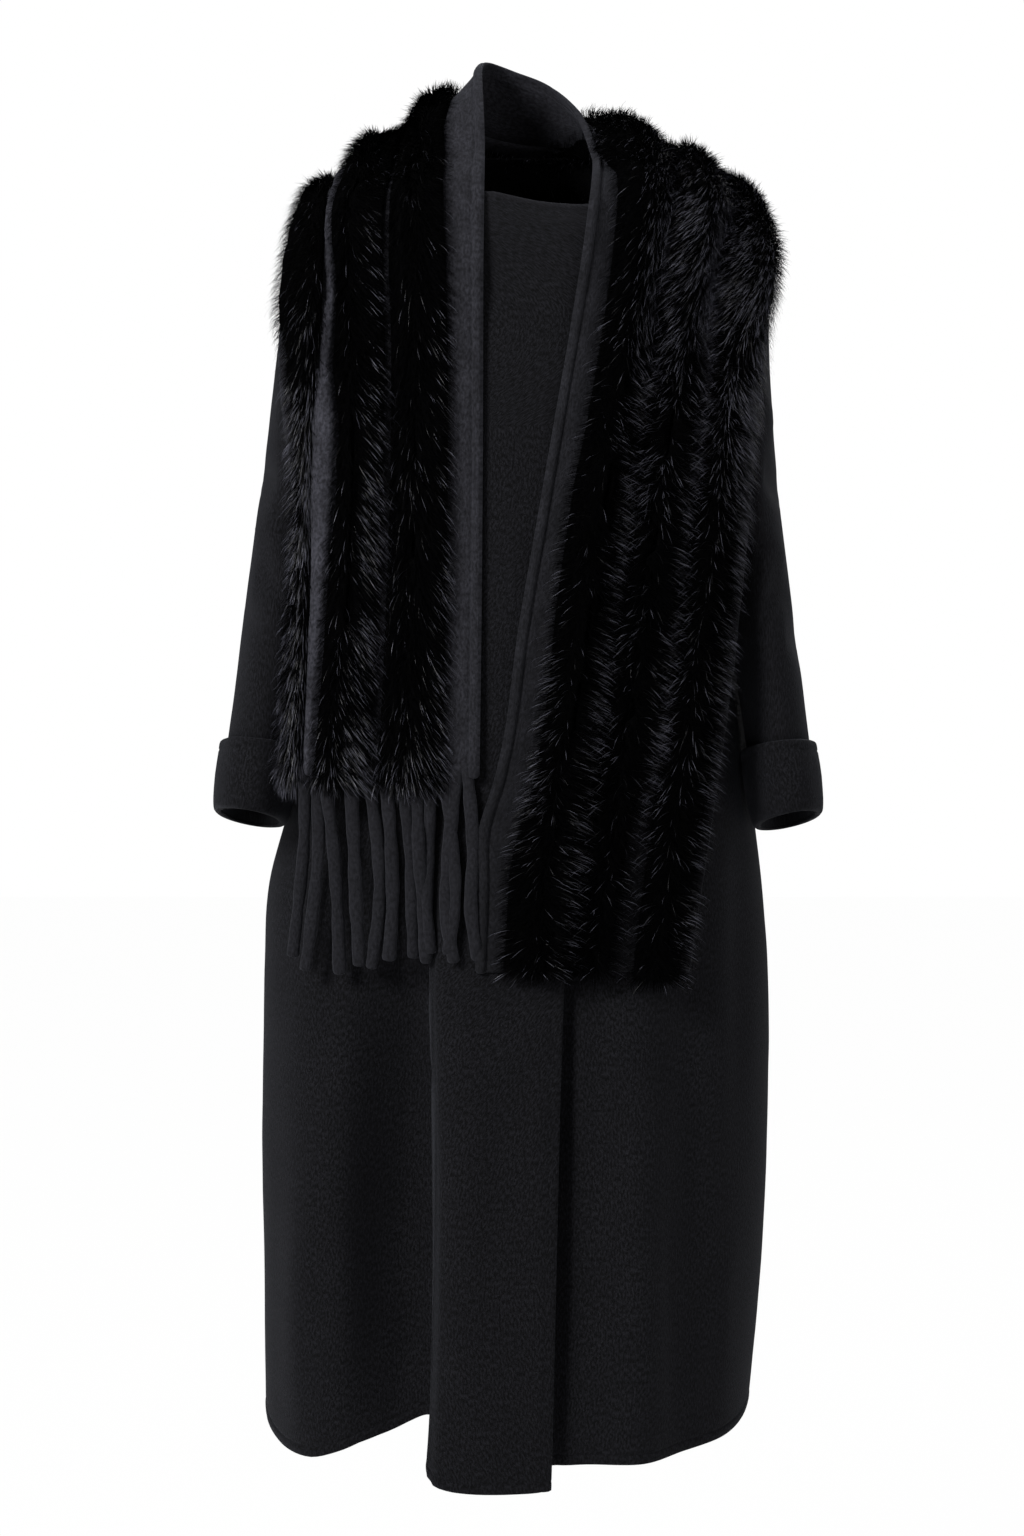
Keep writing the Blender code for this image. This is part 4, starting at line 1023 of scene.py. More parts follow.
# how far the fur beside the wool ridge spreads over it from the second and from the third strip
RIDGE_COVER = {
    2: metres(
        (0, 1), (1.6, 0), (2.2, -2), (2.9, -4), (3.3, -3), (3.8, 3.5), (6, 4.5), (8, 6),
        (10, 6.5), (19.8, 6.5), (20.5, -6), (22, -13), plain=1,
    ),
    3: metres(
        (0, 1), (1.6, 0), (2.2, -2), (2.9, -4), (3.3, -3), (3.8, 3), (5.6, 3), (6.6, -7),
        (7.6, -9), (9, 3), (10, 6.5), (22, 6.5), plain=1,
    ),
}
OUTER_REACH = metres((2, 3), (3, -8), (5, -8), (6.5, 3), plain=1)   # the third strip's outer side
# how each strip ends past the shawl's end: share of the overhang, share of the pile's height
HANG_STEPS, HANG_SHRINK = np.array([0.3, 0.6, 0.85, 1.0]), np.array([0.3, 0.6, 0.85, 0.985])
HANG = {("left", 1): 0.15, ("left", 2): 0.25}
# the share of pale guard hair on each strip, placed where light falls so that its pale grey is a
# painted highlight: over all, more at its inner and at its outer edge
LIT_HAIR_SHARE = {
    "right": ((0.02, 0.22, 0.01), (0.02, 0.32, 0.04), (0.44, 0.05, 0.30)),
    "neck": ((0.10, 0.03, 0.05), (0.10, 0.05, 0.08), (0.10, 0.05, 0.15)),
    "left": ((0.025, 0.07, 0.36), (0.025, 0.06, 0.42), (0.08, 0.12, 0.45)),
}
SHOULDER_LIT_HAIR = 0.0, 0.30, 0.38    # more of it on the left shoulder, strip by strip
# how the hair lies across each strip, at its inner edge, in its middle and at its outer edge
LEAN = {
    "right": ((-0.80, -0.35, 0.05), (-0.85, -0.25, 0.35), (0.05, 0.45, 0.95)),
    "neck": ((-0.2, 0.3, 0.8),) * 3,
    "left": ((-0.85, 0.05, 0.90), (-0.55, 0.10, 0.95), (-0.45, 0.15, 1.00)),
}
FALL = {"right": 0.75, "neck": 0.4, "left": 0.22}   # how far it lies down along the shawl


def pelt_reach(number, rows):
    """How far a strip's fur spreads past its skin on the inner and outer side, for each row."""
    beside_ridge = lines_through(RIDGE_COVER[max(number, 2)], rows)
    narrow = np.full(len(rows), 3.0 * MM)
    return (
        (lines_through(BAND_COVER, rows), narrow), (narrow, beside_ridge),
        (beside_ridge, lines_through(OUTER_REACH, rows)),
    )[number - 1]


def hair_fields(stretch, number, t, height, run, rows):
    """How hair lies along and across a strip, and its share of pale guard hairs, a painted
    highlight where light falls, on the pelt's grid.
    """
    tall = height[:, None]
    start = np.interp(tall, (-0.50, -0.32), (0.05, 0.42)) if stretch == "right" else 0.42
    side = 2 * t - 1
    inner, outer = (ease((end * side[None, :] - start) / (0.95 - start)) for end in (-1, 1))
    lean_in, lean, lean_out = LEAN[stretch][number - 1]
    wide_in, wide_out = (ease(np.clip(end * side * 1.25 - 0.1, 0, 1)) for end in (-1, 1))
    across = lean + (lean_in - lean) * wide_in + (lean_out - lean) * wide_out
    across = np.broadcast_to(across, (len(height), len(t))).copy()
    fall = np.full(across.shape, FALL[stretch])
    whole, in_share, out_share = LIT_HAIR_SHARE[stretch][number - 1]
    on_shoulder = SHOULDER_LIT_HAIR[number - 1]
    lit_share = np.zeros(across.shape) + whole + in_share * inner + out_share * outer
    patch = 0.8 * soft_noise(run[:, None], t * 0.05, 0.030, 60 + number)
    patch = patch + 0.8 * soft_noise(run[:, None], t * 0.05, 0.012, 70 + number)
    if stretch == "right":  # fewer painted highlight hairs towards the shoulder, a few more at the end
        ramp = (1.0, 0.5, 0.06, 0.02) if number == 3 else (1.0, 0.60, 0.25, 0.03)
        lit_share *= np.interp(tall, (-0.26, -0.18, -0.10, 0.0), ramp)
        lit_share += 0.15 * np.interp(tall, (-0.535, -0.46), (1.0, 0.0))
    if stretch == "neck":  # from the right shoulder's way of lying to the left one's
        to_left, to_right = ease((rows - 10.4) / 2.6)[:, None], 1 - ease((rows - 8) / 2)[:, None]
        across = across * (1 - to_left) + (LEAN["left"][number - 1][1] * 0.3 - 0.55) * to_left
        fall = fall + 0.27 * to_left
        lit_share = lit_share * (1 - 0.7 * to_right) + 0.4 * on_shoulder * to_left
    if stretch == "left":  # swept aside, with more painted highlight hairs over the shoulder and fewer at the end
        shoulder = np.interp(tall, (-0.21, -0.13), (0.0, 1.0))
        across = across * (1 - shoulder) + (across * 0.3 - 0.55) * shoulder
        fall = fall + 0.45 * shoulder
        lit_share = lit_share * (1 - 0.5 * np.interp(tall, (-0.62, -0.52), (1.0, 0.0)))
        lower = np.interp(tall, (-0.36, -0.16), (0.0, 1.0))
        lower = lower * np.interp(tall, (0.0, 0.02), (1.0, 0.3))
        lower = lower * np.interp(rows, (13, 14.4), (0.4, 1.0))[:, None]
        lit_share += on_shoulder * lower
        if number == 1:
            low = np.interp(tall, (-0.62, -0.56, -0.44, -0.38), (0.0, 1.0, 1.0, 0.0))
            lit_share += 0.30 * wide_in * low
    return across, fall, np.clip(lit_share * (1 + 0.75 * patch), 0.015, 1)


def pelt_surface(form, strip_start, stretch, number):
    """The rounded underfur of one strip on one stretch: rings of points with their comb direction,
    cover of hair, share of pale guard hairs that paint highlights where light falls, and length
    along the shawl."""
    fine, facing, row_at, share_at, along, _ = form
    part = rows_of(stretch, row_at)
    rows = row_at[part]
    inner, outer = pelt_reach(number, rows)
    t = np.linspace(0.03, 0.97, SECTION_POINTS)
    spread = strip_start - inner[:, None] + (FUR_STRIP + inner + outer)[:, None] * t
    at = np.clip(spread / SHAWL_WIDTH, 0, 1)
    base = np.stack([refined(fine[i], at[k], share_at) for k, i in enumerate(part)])
    up = unit(np.stack([refined(facing[i], at[k], share_at) for k, i in enumerate(part)]))
    run = along[part].mean(1)
    pile = curve_through(FUR_PILE, rows) * lines_through(FULLER, rows)
    down_it = unit(np.gradient(base, axis=0))
    across = unit(np.gradient(base, axis=1))
    turn_over = np.tanh((rows - 10.3) / 0.8)
    lean, fall, lit = hair_fields(stretch, number, t, base[:, CREST_POINT, 2], run, rows)
    comb = down_it * (turn_over[:, None] * fall)[..., None] + across * lean[..., None]
    comb = comb + across * (0.7 * np.sqrt(1 - turn_over ** 2))[:, None, None]
    shrink = np.ones(len(rows))
    if stretch != "neck":
        end, order = (0, slice(None, None, -1)) if stretch == "right" else (-1, slice(None))
        reach = FUR_OVERHANG * 0.8 * HANG.get((stretch, number), 1.0) * HANG_STEPS

        def joined(values, more=None):
            """Values carried on past the shawl's end, where they stay the same or go on as more."""
            more = np.repeat(values[[end]], len(reach), axis=0) if more is None else more[order]
            return np.concatenate([more, values] if end == 0 else [values, more])

        base = joined(base, base[end] - reach[:, None, None] * np.array([0, 0, 1]))
        up, comb, lit, pile = (joined(values) for values in (up, comb, lit, pile))
        shrink = joined(shrink, np.sqrt(1 - HANG_SHRINK ** 2))
        run = joined(run, run[end] + (reach if end else -reach))
    crown = (pile * shrink)[:, None] * UNDERFUR * (1 - np.abs(2 * t - 1) ** 2.6)[None, :] ** 0.5
    seed = number * 31 + STRETCH_SEED[stretch]
    crown = crown * (1 + 0.16 * soft_noise(run[:, None], t * 0.06, 0.011, seed))
    lift = np.full(len(run), UNDERFUR_LIFT)
    if stretch == "right":
        lift += 4.5 * MM * ease((0.004 - run) / 0.01)
    lift = lift[:, None, None]
    top = base + up * (crown[..., None] + lift)
    below = [-1, -6, 5, 0]
    under = base[:, below] + up[:, below] * lift
    fields = {"lie": comb, "cover": np.ones(crown.shape), "lit": np.broadcast_to(lit, crown.shape)}
    for key, values in fields.items():
        bare = np.zeros(under.shape[:2] + values.shape[2:])
        fields[key] = np.concatenate([values, bare], axis=1)
    return np.concatenate([top, under], axis=1), fields, run


def pelt_mesh(name, rings, fields, run, finish):
    """A closed pelt from its rings, each with the fields that its hair reads."""
    rows, columns = rings.shape[:2]
    count = rows * columns
    points = np.concatenate([rings.reshape(-1, 3), [rings[0].mean(0), rings[-1].mean(0)]])
    uv = paired(np.linspace(0, PELT_ROUND, columns), run[:, None]).reshape(-1, 2)
    uv = np.concatenate([uv, paired(PELT_ROUND / 2, run[[0, -1]])])
    ring = np.arange(columns)
    faces = quads(rows, columns, 0, True).tolist()
    faces += fan(ring, count) + fan(count - columns + ring, count + 1)
    made = mesh_piece(name, points, faces, finish, uv)
    for key, values in fields.items():
        is_vector = values.ndim == 3
        flat = values.reshape(count, -1)
        crests = flat[[CREST_POINT, count - columns + CREST_POINT]]
        full = np.concatenate([flat, crests]).astype(np.float32)
        layer = made.data.attributes.new(key, "FLOAT_VECTOR" if is_vector else "FLOAT", "POINT")
        layer.data.foreach_set("vector" if is_vector else "value", full.ravel())
    return made


class Nodes:
    """Adds nodes to a tree. An input is a value, another node's output, or a list of outputs. Each
    call gives the new node's first output, or the one asked for."""

    def __init__(self, tree):
        self.tree = tree

    def node(self, kind, inputs=None, **settings):
        made = self.tree.nodes.new(kind)
        for key, value in settings.items():
            setattr(made, key, value)
        for key, value in (inputs or {}).items():
            sources = value if isinstance(value, list) else [value]
            if isinstance(sources[0], bpy.types.NodeSocket):
                for source in sources:
                    self.tree.links.new(source, made.inputs[key])
            else:
                made.inputs[key].default_value = value
        return made

    def __call__(self, kind, inputs=None, out=0, **settings):
        return self.node(kind, inputs, **settings).outputs[out]

    def calc(self, operation, *values):
        return self("ShaderNodeMath", dict(enumerate(values)), operation=operation)

    def vector(self, operation, *values, **scale):
        inputs = {**dict(enumerate(values)), **scale}
        return self("ShaderNodeVectorMath", inputs, operation=operation)


# the inputs of the hair's nodes
HAIR = {
    "Hairs per Square Metre": 500000.0, "Clumps per Square Metre": 26000.0, "Hair Length": 0.0165,
    "Hair Width": 0.0006, "Bend": 0.30, "Lift": 1.0, "Comb": 0.75, "Stray": 0.34,
    "Clump Pull": 13.0, "Shortest": 0.55, "Longest": 1.1, "Glossy Length": 1.4,
    "Glossy Width": 0.75, "Glossy Lie": 1.45,
}


def hair_tree():
    """Geometry nodes that stand combed and clumped blades of hair on a pelt's underfur."""
    tree = bpy.data.node_groups.new("pelt_hair", "GeometryNodeTree")
    tree.is_modifier = True

    def socket(name, kind, in_out="INPUT"):
        return tree.interface.new_socket(name=name, in_out=in_out, socket_type=f"NodeSocket{kind}")

    socket("Geometry", "Geometry", "OUTPUT")
    socket("Geometry", "Geometry")
    for name, value in HAIR.items():
        socket(name, "Float").default_value = value
    for name, kind in (("Seed", "Int"), ("Soft Finish", "Material"), ("Glossy Finish", "Material")):
        socket(name, kind)
    nodes = Nodes(tree)
    calc, vector = nodes.calc, nodes.vector
    given = tree.nodes.new("NodeGroupInput").outputs
    place = nodes("GeometryNodeInputPosition")

    def read(name, kind="FLOAT"):
        return nodes("GeometryNodeInputNamedAttribute", {"Name": name}, data_type=kind)

    def store(geometry, name, value, domain):
        inputs = {"Geometry": geometry, "Name": name, "Value": value}
        return nodes("GeometryNodeStoreNamedAttribute", inputs, data_type="FLOAT", domain=domain)

    def seeded(more):
        return calc("ADD", given["Seed"], more)

    def chance(low, high, more):
        inputs = {2: low, 3: high, "Seed": seeded(more)}
        return nodes("FunctionNodeRandomValue", inputs, 1, data_type="FLOAT")

    def product(first, *others):
        for other in others:
            first = calc("MULTIPLY", first, other)
        return first

    def blade(steps):
        """A flat blade of hair, tapering to a point and bending towards +X."""
        size = {"Size X": 1.0, "Size Y": 1.0, "Vertices X": 2, "Vertices Y": steps}
        flat = nodes("GeometryNodeMeshGrid", size, "Mesh")
        split = nodes.node("ShaderNodeSeparateXYZ", {0: place}).outputs
        up = calc("ADD", split[1], 0.5)
        up_squared = product(up, up)
        bend = product(up_squared, given["Bend"], given["Hair Length"])
        side = product(split[0], calc("SUBTRACT", 1.0, up_squared), given["Hair Width"])
        droop = calc("SUBTRACT", 1.0, product(up_squared, 0.16))
        rise = product(up, droop, given["Hair Length"])
        shape = nodes("ShaderNodeCombineXYZ", {0: bend, 1: side, 2: rise})
        kept = store(flat, "up_hair", up, "POINT")
        shaped = nodes("GeometryNodeSetPosition", {"Geometry": kept, "Position": shape})
        pointed = nodes("GeometryNodeMergeByDistance", {"Geometry": shaped, "Distance": 0.00001})
        smooth = nodes("GeometryNodeSetShadeSmooth", {"Geometry": pointed})
        return nodes("GeometryNodeGeometryToInstance", {0: smooth})

    # where hairs root, and the middles of the locks that they lean into
    blades = nodes("GeometryNodeJoinGeometry", {0: [blade(4), blade(3)]})
    cover, lit, lie = read("cover"), read("lit"), read("lie", "FLOAT_VECTOR")
    fuller = product(cover, calc("ADD", 0.62, product(lit, 0.75)))

    def scattered(density, seed):
        inputs = {"Mesh": given["Geometry"], "Density": density, "Seed": seed}
        return nodes.node("GeometryNodeDistributePointsOnFaces", inputs).outputs

    roots = scattered(product(given["Hairs per Square Metre"], fuller), given["Seed"])
    clumps = scattered(product(given["Clumps per Square Metre"], cover), seeded(57.0))["Points"]
    nearest = nodes("GeometryNodeSampleNearest", {"Geometry": clumps}, domain="POINT")

    def of_lock(value):
        """What a value is at the middle of the nearest lock."""
        inputs = {"Geometry": clumps, "Value": value, "Index": nearest}
        return nodes("GeometryNodeSampleIndex", inputs, data_type="FLOAT_VECTOR", domain="POINT")

    pull = vector("SCALE", vector("SUBTRACT", of_lock(place), place), Scale=given["Clump Pull"])
    loose = {0: (-1, -1, -1), 1: (1, 1, 1), "Seed": seeded(3.0)}
    loose = nodes("FunctionNodeRandomValue", loose, data_type="FLOAT_VECTOR")
    # painted highlight: hairs picked by the lit field, where light falls on the fur, stand longer
    # and take the pale guard finish
    lit_hair = calc("LESS_THAN", chance(0.0, 1.0, 21.0), lit)

    def if_lit_hair(name):
        """The named input on a lit guard hair, else 1."""
        return calc("ADD", 1.0, product(lit_hair, calc("SUBTRACT", given[name], 1.0)))

    flatter = if_lit_hair("Glossy Lie")
    way = vector("SCALE", roots["Normal"], Scale=calc("DIVIDE", given["Lift"], flatter))
    for more, scale in (
        (lie, product(given["Comb"], flatter)), (loose, given["Stray"]), (of_lock(loose), 0.14),
    ):
        way = vector("ADD", way, vector("SCALE", more, Scale=scale))
    way = vector("ADD", way, pull)
    bend_way = vector("ADD", lie, (0.0, 0.0, -0.35))
    axes = dict(primary_axis="Z", secondary_axis="X")
    turn = nodes("FunctionNodeAxesToRotation", {0: way, 1: bend_way}, **axes)
    tall = product(chance(given["Shortest"], given["Longest"], 9.0), if_lit_hair("Glossy Length"))
    size = nodes("ShaderNodeCombineXYZ", {0: tall, 1: if_lit_hair("Glossy Width"), 2: tall})
    stood = nodes("GeometryNodeInstanceOnPoints", {
        "Points": roots["Points"], "Instance": blades, "Pick Instance": True,
        "Instance Index": lit_hair, "Rotation": turn, "Scale": size,
    })
    toned = store(stood, "tone_hair", chance(0.0, 1.0, 33.0), "INSTANCE")
    marked = store(toned, "glossy_hair", lit_hair, "INSTANCE")
    real = nodes("GeometryNodeRealizeInstances", {"Geometry": marked})
    soft = {"Geometry": real, "Material": given["Soft Finish"]}
    soft = nodes("GeometryNodeSetMaterial", soft)
    is_lit_guard = {0: read("glossy_hair"), 1: 0.5}
    chosen = nodes("FunctionNodeCompare", is_lit_guard, data_type="FLOAT", operation="GREATER_THAN")
    finished = {"Geometry": soft, "Selection": chosen, "Material": given["Glossy Finish"]}
    finished = nodes("GeometryNodeSetMaterial", finished)
    joined = nodes("GeometryNodeJoinGeometry", {0: [finished, given["Geometry"]]})
    nodes.node("NodeGroupOutput", {"Geometry": joined})
    return tree


def grown(pelt, tree, settings):
    """The pelt with its hair as one plain mesh."""
    modifier = pelt.modifiers.new("hair", "NODES")
    modifier.node_group = tree
    for item in tree.interface.items_tree:
        if item.in_out == "INPUT" and item.name in settings:
            modifier[item.identifier] = settings[item.name]
    bpy.context.view_layer.update()
    graph = bpy.context.evaluated_depsgraph_get()
    mesh = bpy.data.meshes.new_from_object(
        pelt.evaluated_get(graph), preserve_all_data_layers=True, depsgraph=graph
    )
    pelt.modifiers.clear()
    bare, pelt.data = pelt.data, mesh
    mesh.name = pelt.name
    bpy.data.meshes.remove(bare)
    for key in ("lie", "cover", "lit", "glossy_hair"):
        if key in mesh.attributes:
            mesh.attributes.remove(mesh.attributes[key])


# ---- the fringe

# each strand: x where it leaves the hem, then at two places lower down, and at its tip, its width
# and length, and how far it lies in front of its neighbours
STRANDS = metres(
    (-194.5, -195.3, -200.5, -205.8, 10.6, 164, 0), (-184.2, -182.4, -188.0, -194.5, 11.0, 175, 3),
    (-177.2, -169.0, -165.5, -164.2, 11.4, 178, 1), (-153.8, -151.2, -149.0, -146.8, 11.6, 170, 3),
    (-139.1, -130.0, -129.6, -136.5, 11.4, 172, 1), (-123.5, -118.6, -117.6, -120.9, 11.4, 164, 4),
    (-108.8, -102.2, -100.5, -99.2, 11.0, 162, 1), (-95.8, -94.4, -90.5, -88.0, 11.0, 165, 4),
    (-84.2, -85.0, -87.2, -83.8, 10.2, 156, 0), (-61.2, -68.0, -70.6, -63.7, 11.4, 162, 4),
    (-72.5, -65.0, -62.8, -69.0, 10.2, 155, 0), (-51.6, -47.3, -49.0, -43.0, 11.0, 162, 2),
)
STRAND_DEPTH, STRAND_CLEAR, STRAND_ROUND = 7.0 * MM, 4.0 * MM, 0.026
STRAND_PLACES = (0, 0.38, 0.72, 1)  # where the strands' x are given, as shares of their length


def strand_rings(row, strand, number, tree):
    """A strand of rolled wool as rings of points round a hanging path, and its lengths."""
    *places, width, length, ahead = strand
    tips = length - np.array([2.6, 1.2, 0.3]) * MM
    down = np.concatenate([np.linspace(-0.004, length - 0.005, 30), tips])
    t = np.clip(down / length, 0, 1)
    x = curve_through(np.stack([STRAND_PLACES, places], -1), t)
    order = np.argsort(row[:, 0])
    start = np.array([np.interp(places[0], row[order, 0], row[order, k]) for k in range(3)])
    path = np.stack([x, np.full(len(t), start[1]), start[2] - down], -1)

    def wave(times, offset):
        return np.sin(2 * math.pi * (t * times + number * offset))

    path[:, 1] -= ahead * ease(t * 3) + 0.0012 * wave(1.6, 0.37) * ease(t * 3)
    gap = STRAND_DEPTH / 2 + STRAND_CLEAR
    push = np.zeros(len(path))
    for i in range(len(path)):
        off, _ = height_over(tree, path[i])
        push[i] = max(0.0, gap - off) * (down[i] > 0.01)
    for _ in range(12):
        wider = np.pad(push, 1, mode="edge")
        push = np.maximum(push, (wider[2:] + wider[:-2] + 2 * push) / 4)
    path[:, 1] -= push * 1.05
    heading = unit(np.gradient(path, axis=0))
    front = unit(np.array([0.0, -1.0, 0.0]) + heading * heading[:, 1:2])
    side = np.cross(front, heading)
    angle = np.linspace(0, 2 * math.pi, 15)[:-1]
    swell = 1 + 0.07 * wave(2.3, 0.61) + 0.05 * wave(5.1, 0.23)
    tip = np.ones(len(path))
    tip[-3:] = (0.95, 0.78, 0.42)
    reach = (swell * tip)[:, None, None] * 0.5
    rings = path[:, None] + reach * (
        side[:, None] * (np.cos(angle) * width)[None, :, None]
        + front[:, None] * (np.sin(angle) * STRAND_DEPTH)[None, :, None]
    )
    return rings, down


def fringe_piece(form, tree, finish):
    """All the strands that hang from the shawl's right end, as one piece."""
    row = form[0][0] - form[1][0] * CLOTH * 0.5
    points, faces, lengths, total = [], [], [], 0
    for number, strand in enumerate(STRANDS):
        rings, down = strand_rings(row, strand, number, tree)
        x0, length = strand[0], strand[5]
        rows, columns = rings.shape[:2]
        points += [rings.reshape(-1, 3), rings[:1].mean(1), rings[-1:].mean(1)]
        last = total + rows * columns
        ring = np.arange(columns)
        faces += quads(rows, columns, total, True).tolist()
        faces += fan(total + ring, last) + fan(last - columns + ring, last + 1)
        uv = paired(ring / columns * STRAND_ROUND + x0, -down[:, None]).reshape(-1, 2)
        lengths += [uv, [[x0, 0.0]], [[x0, -length]]]
        total = last + 2
    points, lengths = np.concatenate(points), np.concatenate(lengths)
    return mesh_piece("shawl_fringe", points, faces, finish, lengths, STRAND_ROUND)


# ---- finishes


def grey(value, blue=None):
    return value, value, value if blue is None else blue, 1


WHITE, BLUISH = grey(1), (0.80, 0.84, 1.0, 1)


class Finish(Nodes):
    """A new material and its shader, whose constants are set on its own sockets."""

    def __init__(self, name, roughness, specular, sheen=0.0):
        self.made = bpy.data.materials.new(name)
        self.made.use_nodes = True
        super().__init__(self.made.node_tree)
        self.shader = self.tree.nodes["Principled BSDF"]
        self.set("Roughness", roughness)
        self.set("Metallic", 0.0)
        self.set("Sheen Weight", sheen)
        self.set("Sheen Roughness", 0.5)
        self.set("Specular IOR Level", specular)
        if sheen:
            self.set("Sheen Tint", BLUISH)

    def set(self, name, value):
        self.shader.inputs[name].default_value = value

    def cloth(self):
        return self("ShaderNodeUVMap", uv_map="cloth")

    def hair(self, name):
        settings = dict(attribute_name=name, attribute_type="GEOMETRY")
        return self("ShaderNodeAttribute", out="Fac", **settings)

    def grain(self, where, along, across, detail, roughness=0.6):
        """Noise whose hills are so many to the metre each way."""
        size = {"Vector": where, "Scale": (along, across, 1)}
        inputs = {"Vector": self("ShaderNodeMapping", size, vector_type="POINT"), "Scale": 1.0,
                  "Detail": detail, "Roughness": roughness}
        return self("ShaderNodeTexNoise", inputs, "Fac", noise_dimensions="3D")

    def stepped(self, value, low, high):
        inputs = {"Value": value, "From Min": low, "From Max": high}
        return self("ShaderNodeMapRange", inputs, interpolation_type="SMOOTHSTEP")

    def mixed(self, share, first, second, **settings):
        inputs = {0: share, 6: first, 7: second}
        return self("ShaderNodeMix", inputs, 2, data_type="RGBA", **settings)

    def times(self, first, second):
        return self.mixed(1.0, first, second, blend_type="MULTIPLY")

    def between(self, value, low, high, first, second):
        """The first colour where the value is low, the second where it is high."""
        return self.mixed(self.stepped(value, low, high), first, second)

    def coloured(self, colour):
        self.tree.links.new(colour, self.shader.inputs["Base Color"])
        return self.made

    def raised(self, fine, share, coarse, strength, distance):
        """Bumps from a coarse grain and a share of a fine one."""
        height = self.calc("MULTIPLY_ADD", fine, share, coarse)
        inputs = {"Height": height, "Strength": strength, "Distance": distance}
        self.tree.links.new(self("ShaderNodeBump", inputs), self.shader.inputs["Normal"])


def napped_wool():
    """Double-faced wool with a brushed nap that lies down the cloth in fine wavy streaks."""
    wool = Finish("napped_wool", 0.9, 0.10, sheen=0.036)
    cloth = wool.cloth()
    sway = {"Vector": cloth, "Scale": 34.0, "Detail": 1.5}
    swung = wool.vector("SUBTRACT", wool("ShaderNodeTexNoise", sway, "Color"), (0.5, 0.5, 0.5))
    wavy = wool.vector("ADD", cloth, wool.vector("MULTIPLY", swung, (0.0045, 0.003, 0.0)))
    streaks, fibres = wool.grain(wavy, 600, 250, 3.0), wool.grain(wavy, 1600, 800, 2.0)
    patches = wool.grain(cloth, 30, 16, 2.0, 0.5)
    pale = wool.between(streaks, 0.38, 0.68, grey(0.0003, 0.0005), grey(0.0072, 0.0092))
    flecked = wool.between(fibres, 0.60, 0.82, pale, (0.0320, 0.0322, 0.0390, 1))
    worn = wool.between(patches, 0.25, 0.8, grey(0.88, 0.89), grey(1.10, 1.09))
    wool.raised(fibres, 0.45, streaks, 0.55, 0.0012)
    return wool.coloured(wool.times(flecked, worn))


def felted_wool(name, dark, light, blotch, shawl=False):
    """The shawl's and fringe's wool: a paler yarn, felted and crushed into soft blotches. On the
    shawl, painted shade darkens it from the neck on over its left stretch, more so down that
    stretch, and a painted highlight lights its fold on the right stretch."""
    wool = Finish(name, 0.9, 0.10, sheen=0.05)
    cloth = wool.cloth()
    rolled, fibres = wool.grain(cloth, 520, 240, 3.0), wool.grain(cloth, 1500, 620, 2.0)
    crushed = wool.grain(cloth, 75, 34, 2.5)
    yarn = wool.between(rolled, 0.28, 0.74, grey(dark, dark * 1.24), grey(light, light * 1.24))
    colour = wool.times(yarn, wool.between(crushed, 0.30, 0.70, grey(1 - blotch), grey(1 + blotch)))
    if shawl:
        across, along = wool.node("ShaderNodeSeparateXYZ", {0: cloth}).outputs[:2]
        # painted shade on the neck and left stretch, deeper down the left stretch, and a painted
        # highlight along the right stretch's fold
        right = wool.calc("SUBTRACT", 1.0, wool.stepped(along, 0.72, 1.02))
        colour = wool.times(colour, wool.between(along, 1.1, 1.7, WHITE, grey(0.6)))
        colour = wool.times(colour, wool.mixed(right, grey(0.68), WHITE))
        off = wool.calc("ABSOLUTE", wool.calc("SUBTRACT", across, RIDGE_AT))
        fold_highlight = wool.calc("SUBTRACT", 1.0, wool.stepped(off, 0.008, 0.014))
        fold_highlight = wool.calc("MULTIPLY", fold_highlight, right)
        colour = wool.times(colour, wool.mixed(fold_highlight, WHITE, grey(1.9)))
    wool.raised(fibres, 0.4, rolled, 0.6, 0.0014)
    return wool.coloured(colour)


def dense_underfur():
    """The short dense fur under the guard hairs, nearly black with paler tufts."""
    fur = Finish("dense_underfur", 0.9, 0.03)
    cloth = fur.cloth()
    tufts, strands = fur.grain(cloth, 260, 110, 4.0, 0.65), fur.grain(cloth, 1500, 300, 2.0)
    fur.raised(strands, 0.5, tufts, 1.0, 0.003)
    return fur.coloured(
        fur.between(tufts, 0.40, 0.78, grey(0.0003, 0.0004), grey(0.0010, 0.0012))
    )


def soft_hair():
    """The dense black hair that makes up most of the pile."""
    fur = Finish("soft_hair", 0.7, 0.015)
    tone = fur.hair("tone_hair")
    return fur.coloured(fur.mixed(tone, grey(0.0002, 0.0003), grey(0.0009, 0.0011)))


def guard_hair():
    """Longer glossy guard hair, darker at the root, no two hairs alike; its pale grey towards the
    tip is a painted highlight.
    """
    fur = Finish("guard_hair", 0.42, 0.22)
    # painted highlight: the pale grey that stands for the glint on lit hairs
    pale = 0.0840, 0.0850, 0.1100, 1
    body = fur.between(fur.hair("tone_hair"), 0.25, 1.0, grey(0.0040, 0.0050), pale)
    return fur.coloured(fur.between(fur.hair("up_hair"), 0.15, 0.7, grey(0.0006, 0.0008), body))


# ---- the build

WOOL, UNDER, SOFT, LIT_GUARD_FINISH = napped_wool(), dense_underfur(), soft_hair(), guard_hair()
# the shawl's wool carries painted shade and a painted highlight
CRUSHED = felted_wool("crushed_wool", 0.0055, 0.0195, 0.26, shawl=True)
ROLLED = felted_wool("rolled_wool", 0.0044, 0.0122, 0.10)
SEWN = 0.15                 # how far a sewn edge is rounded
ROUNDNESS = {"back": (1, SEWN, SEWN, SEWN), "front": (1, 1, SEWN, SEWN), "sleeve": (SEWN, 0, 1, 0)}
HAIR_DENSITY, HAIR_WIDTH = 430000.0, 0.0006


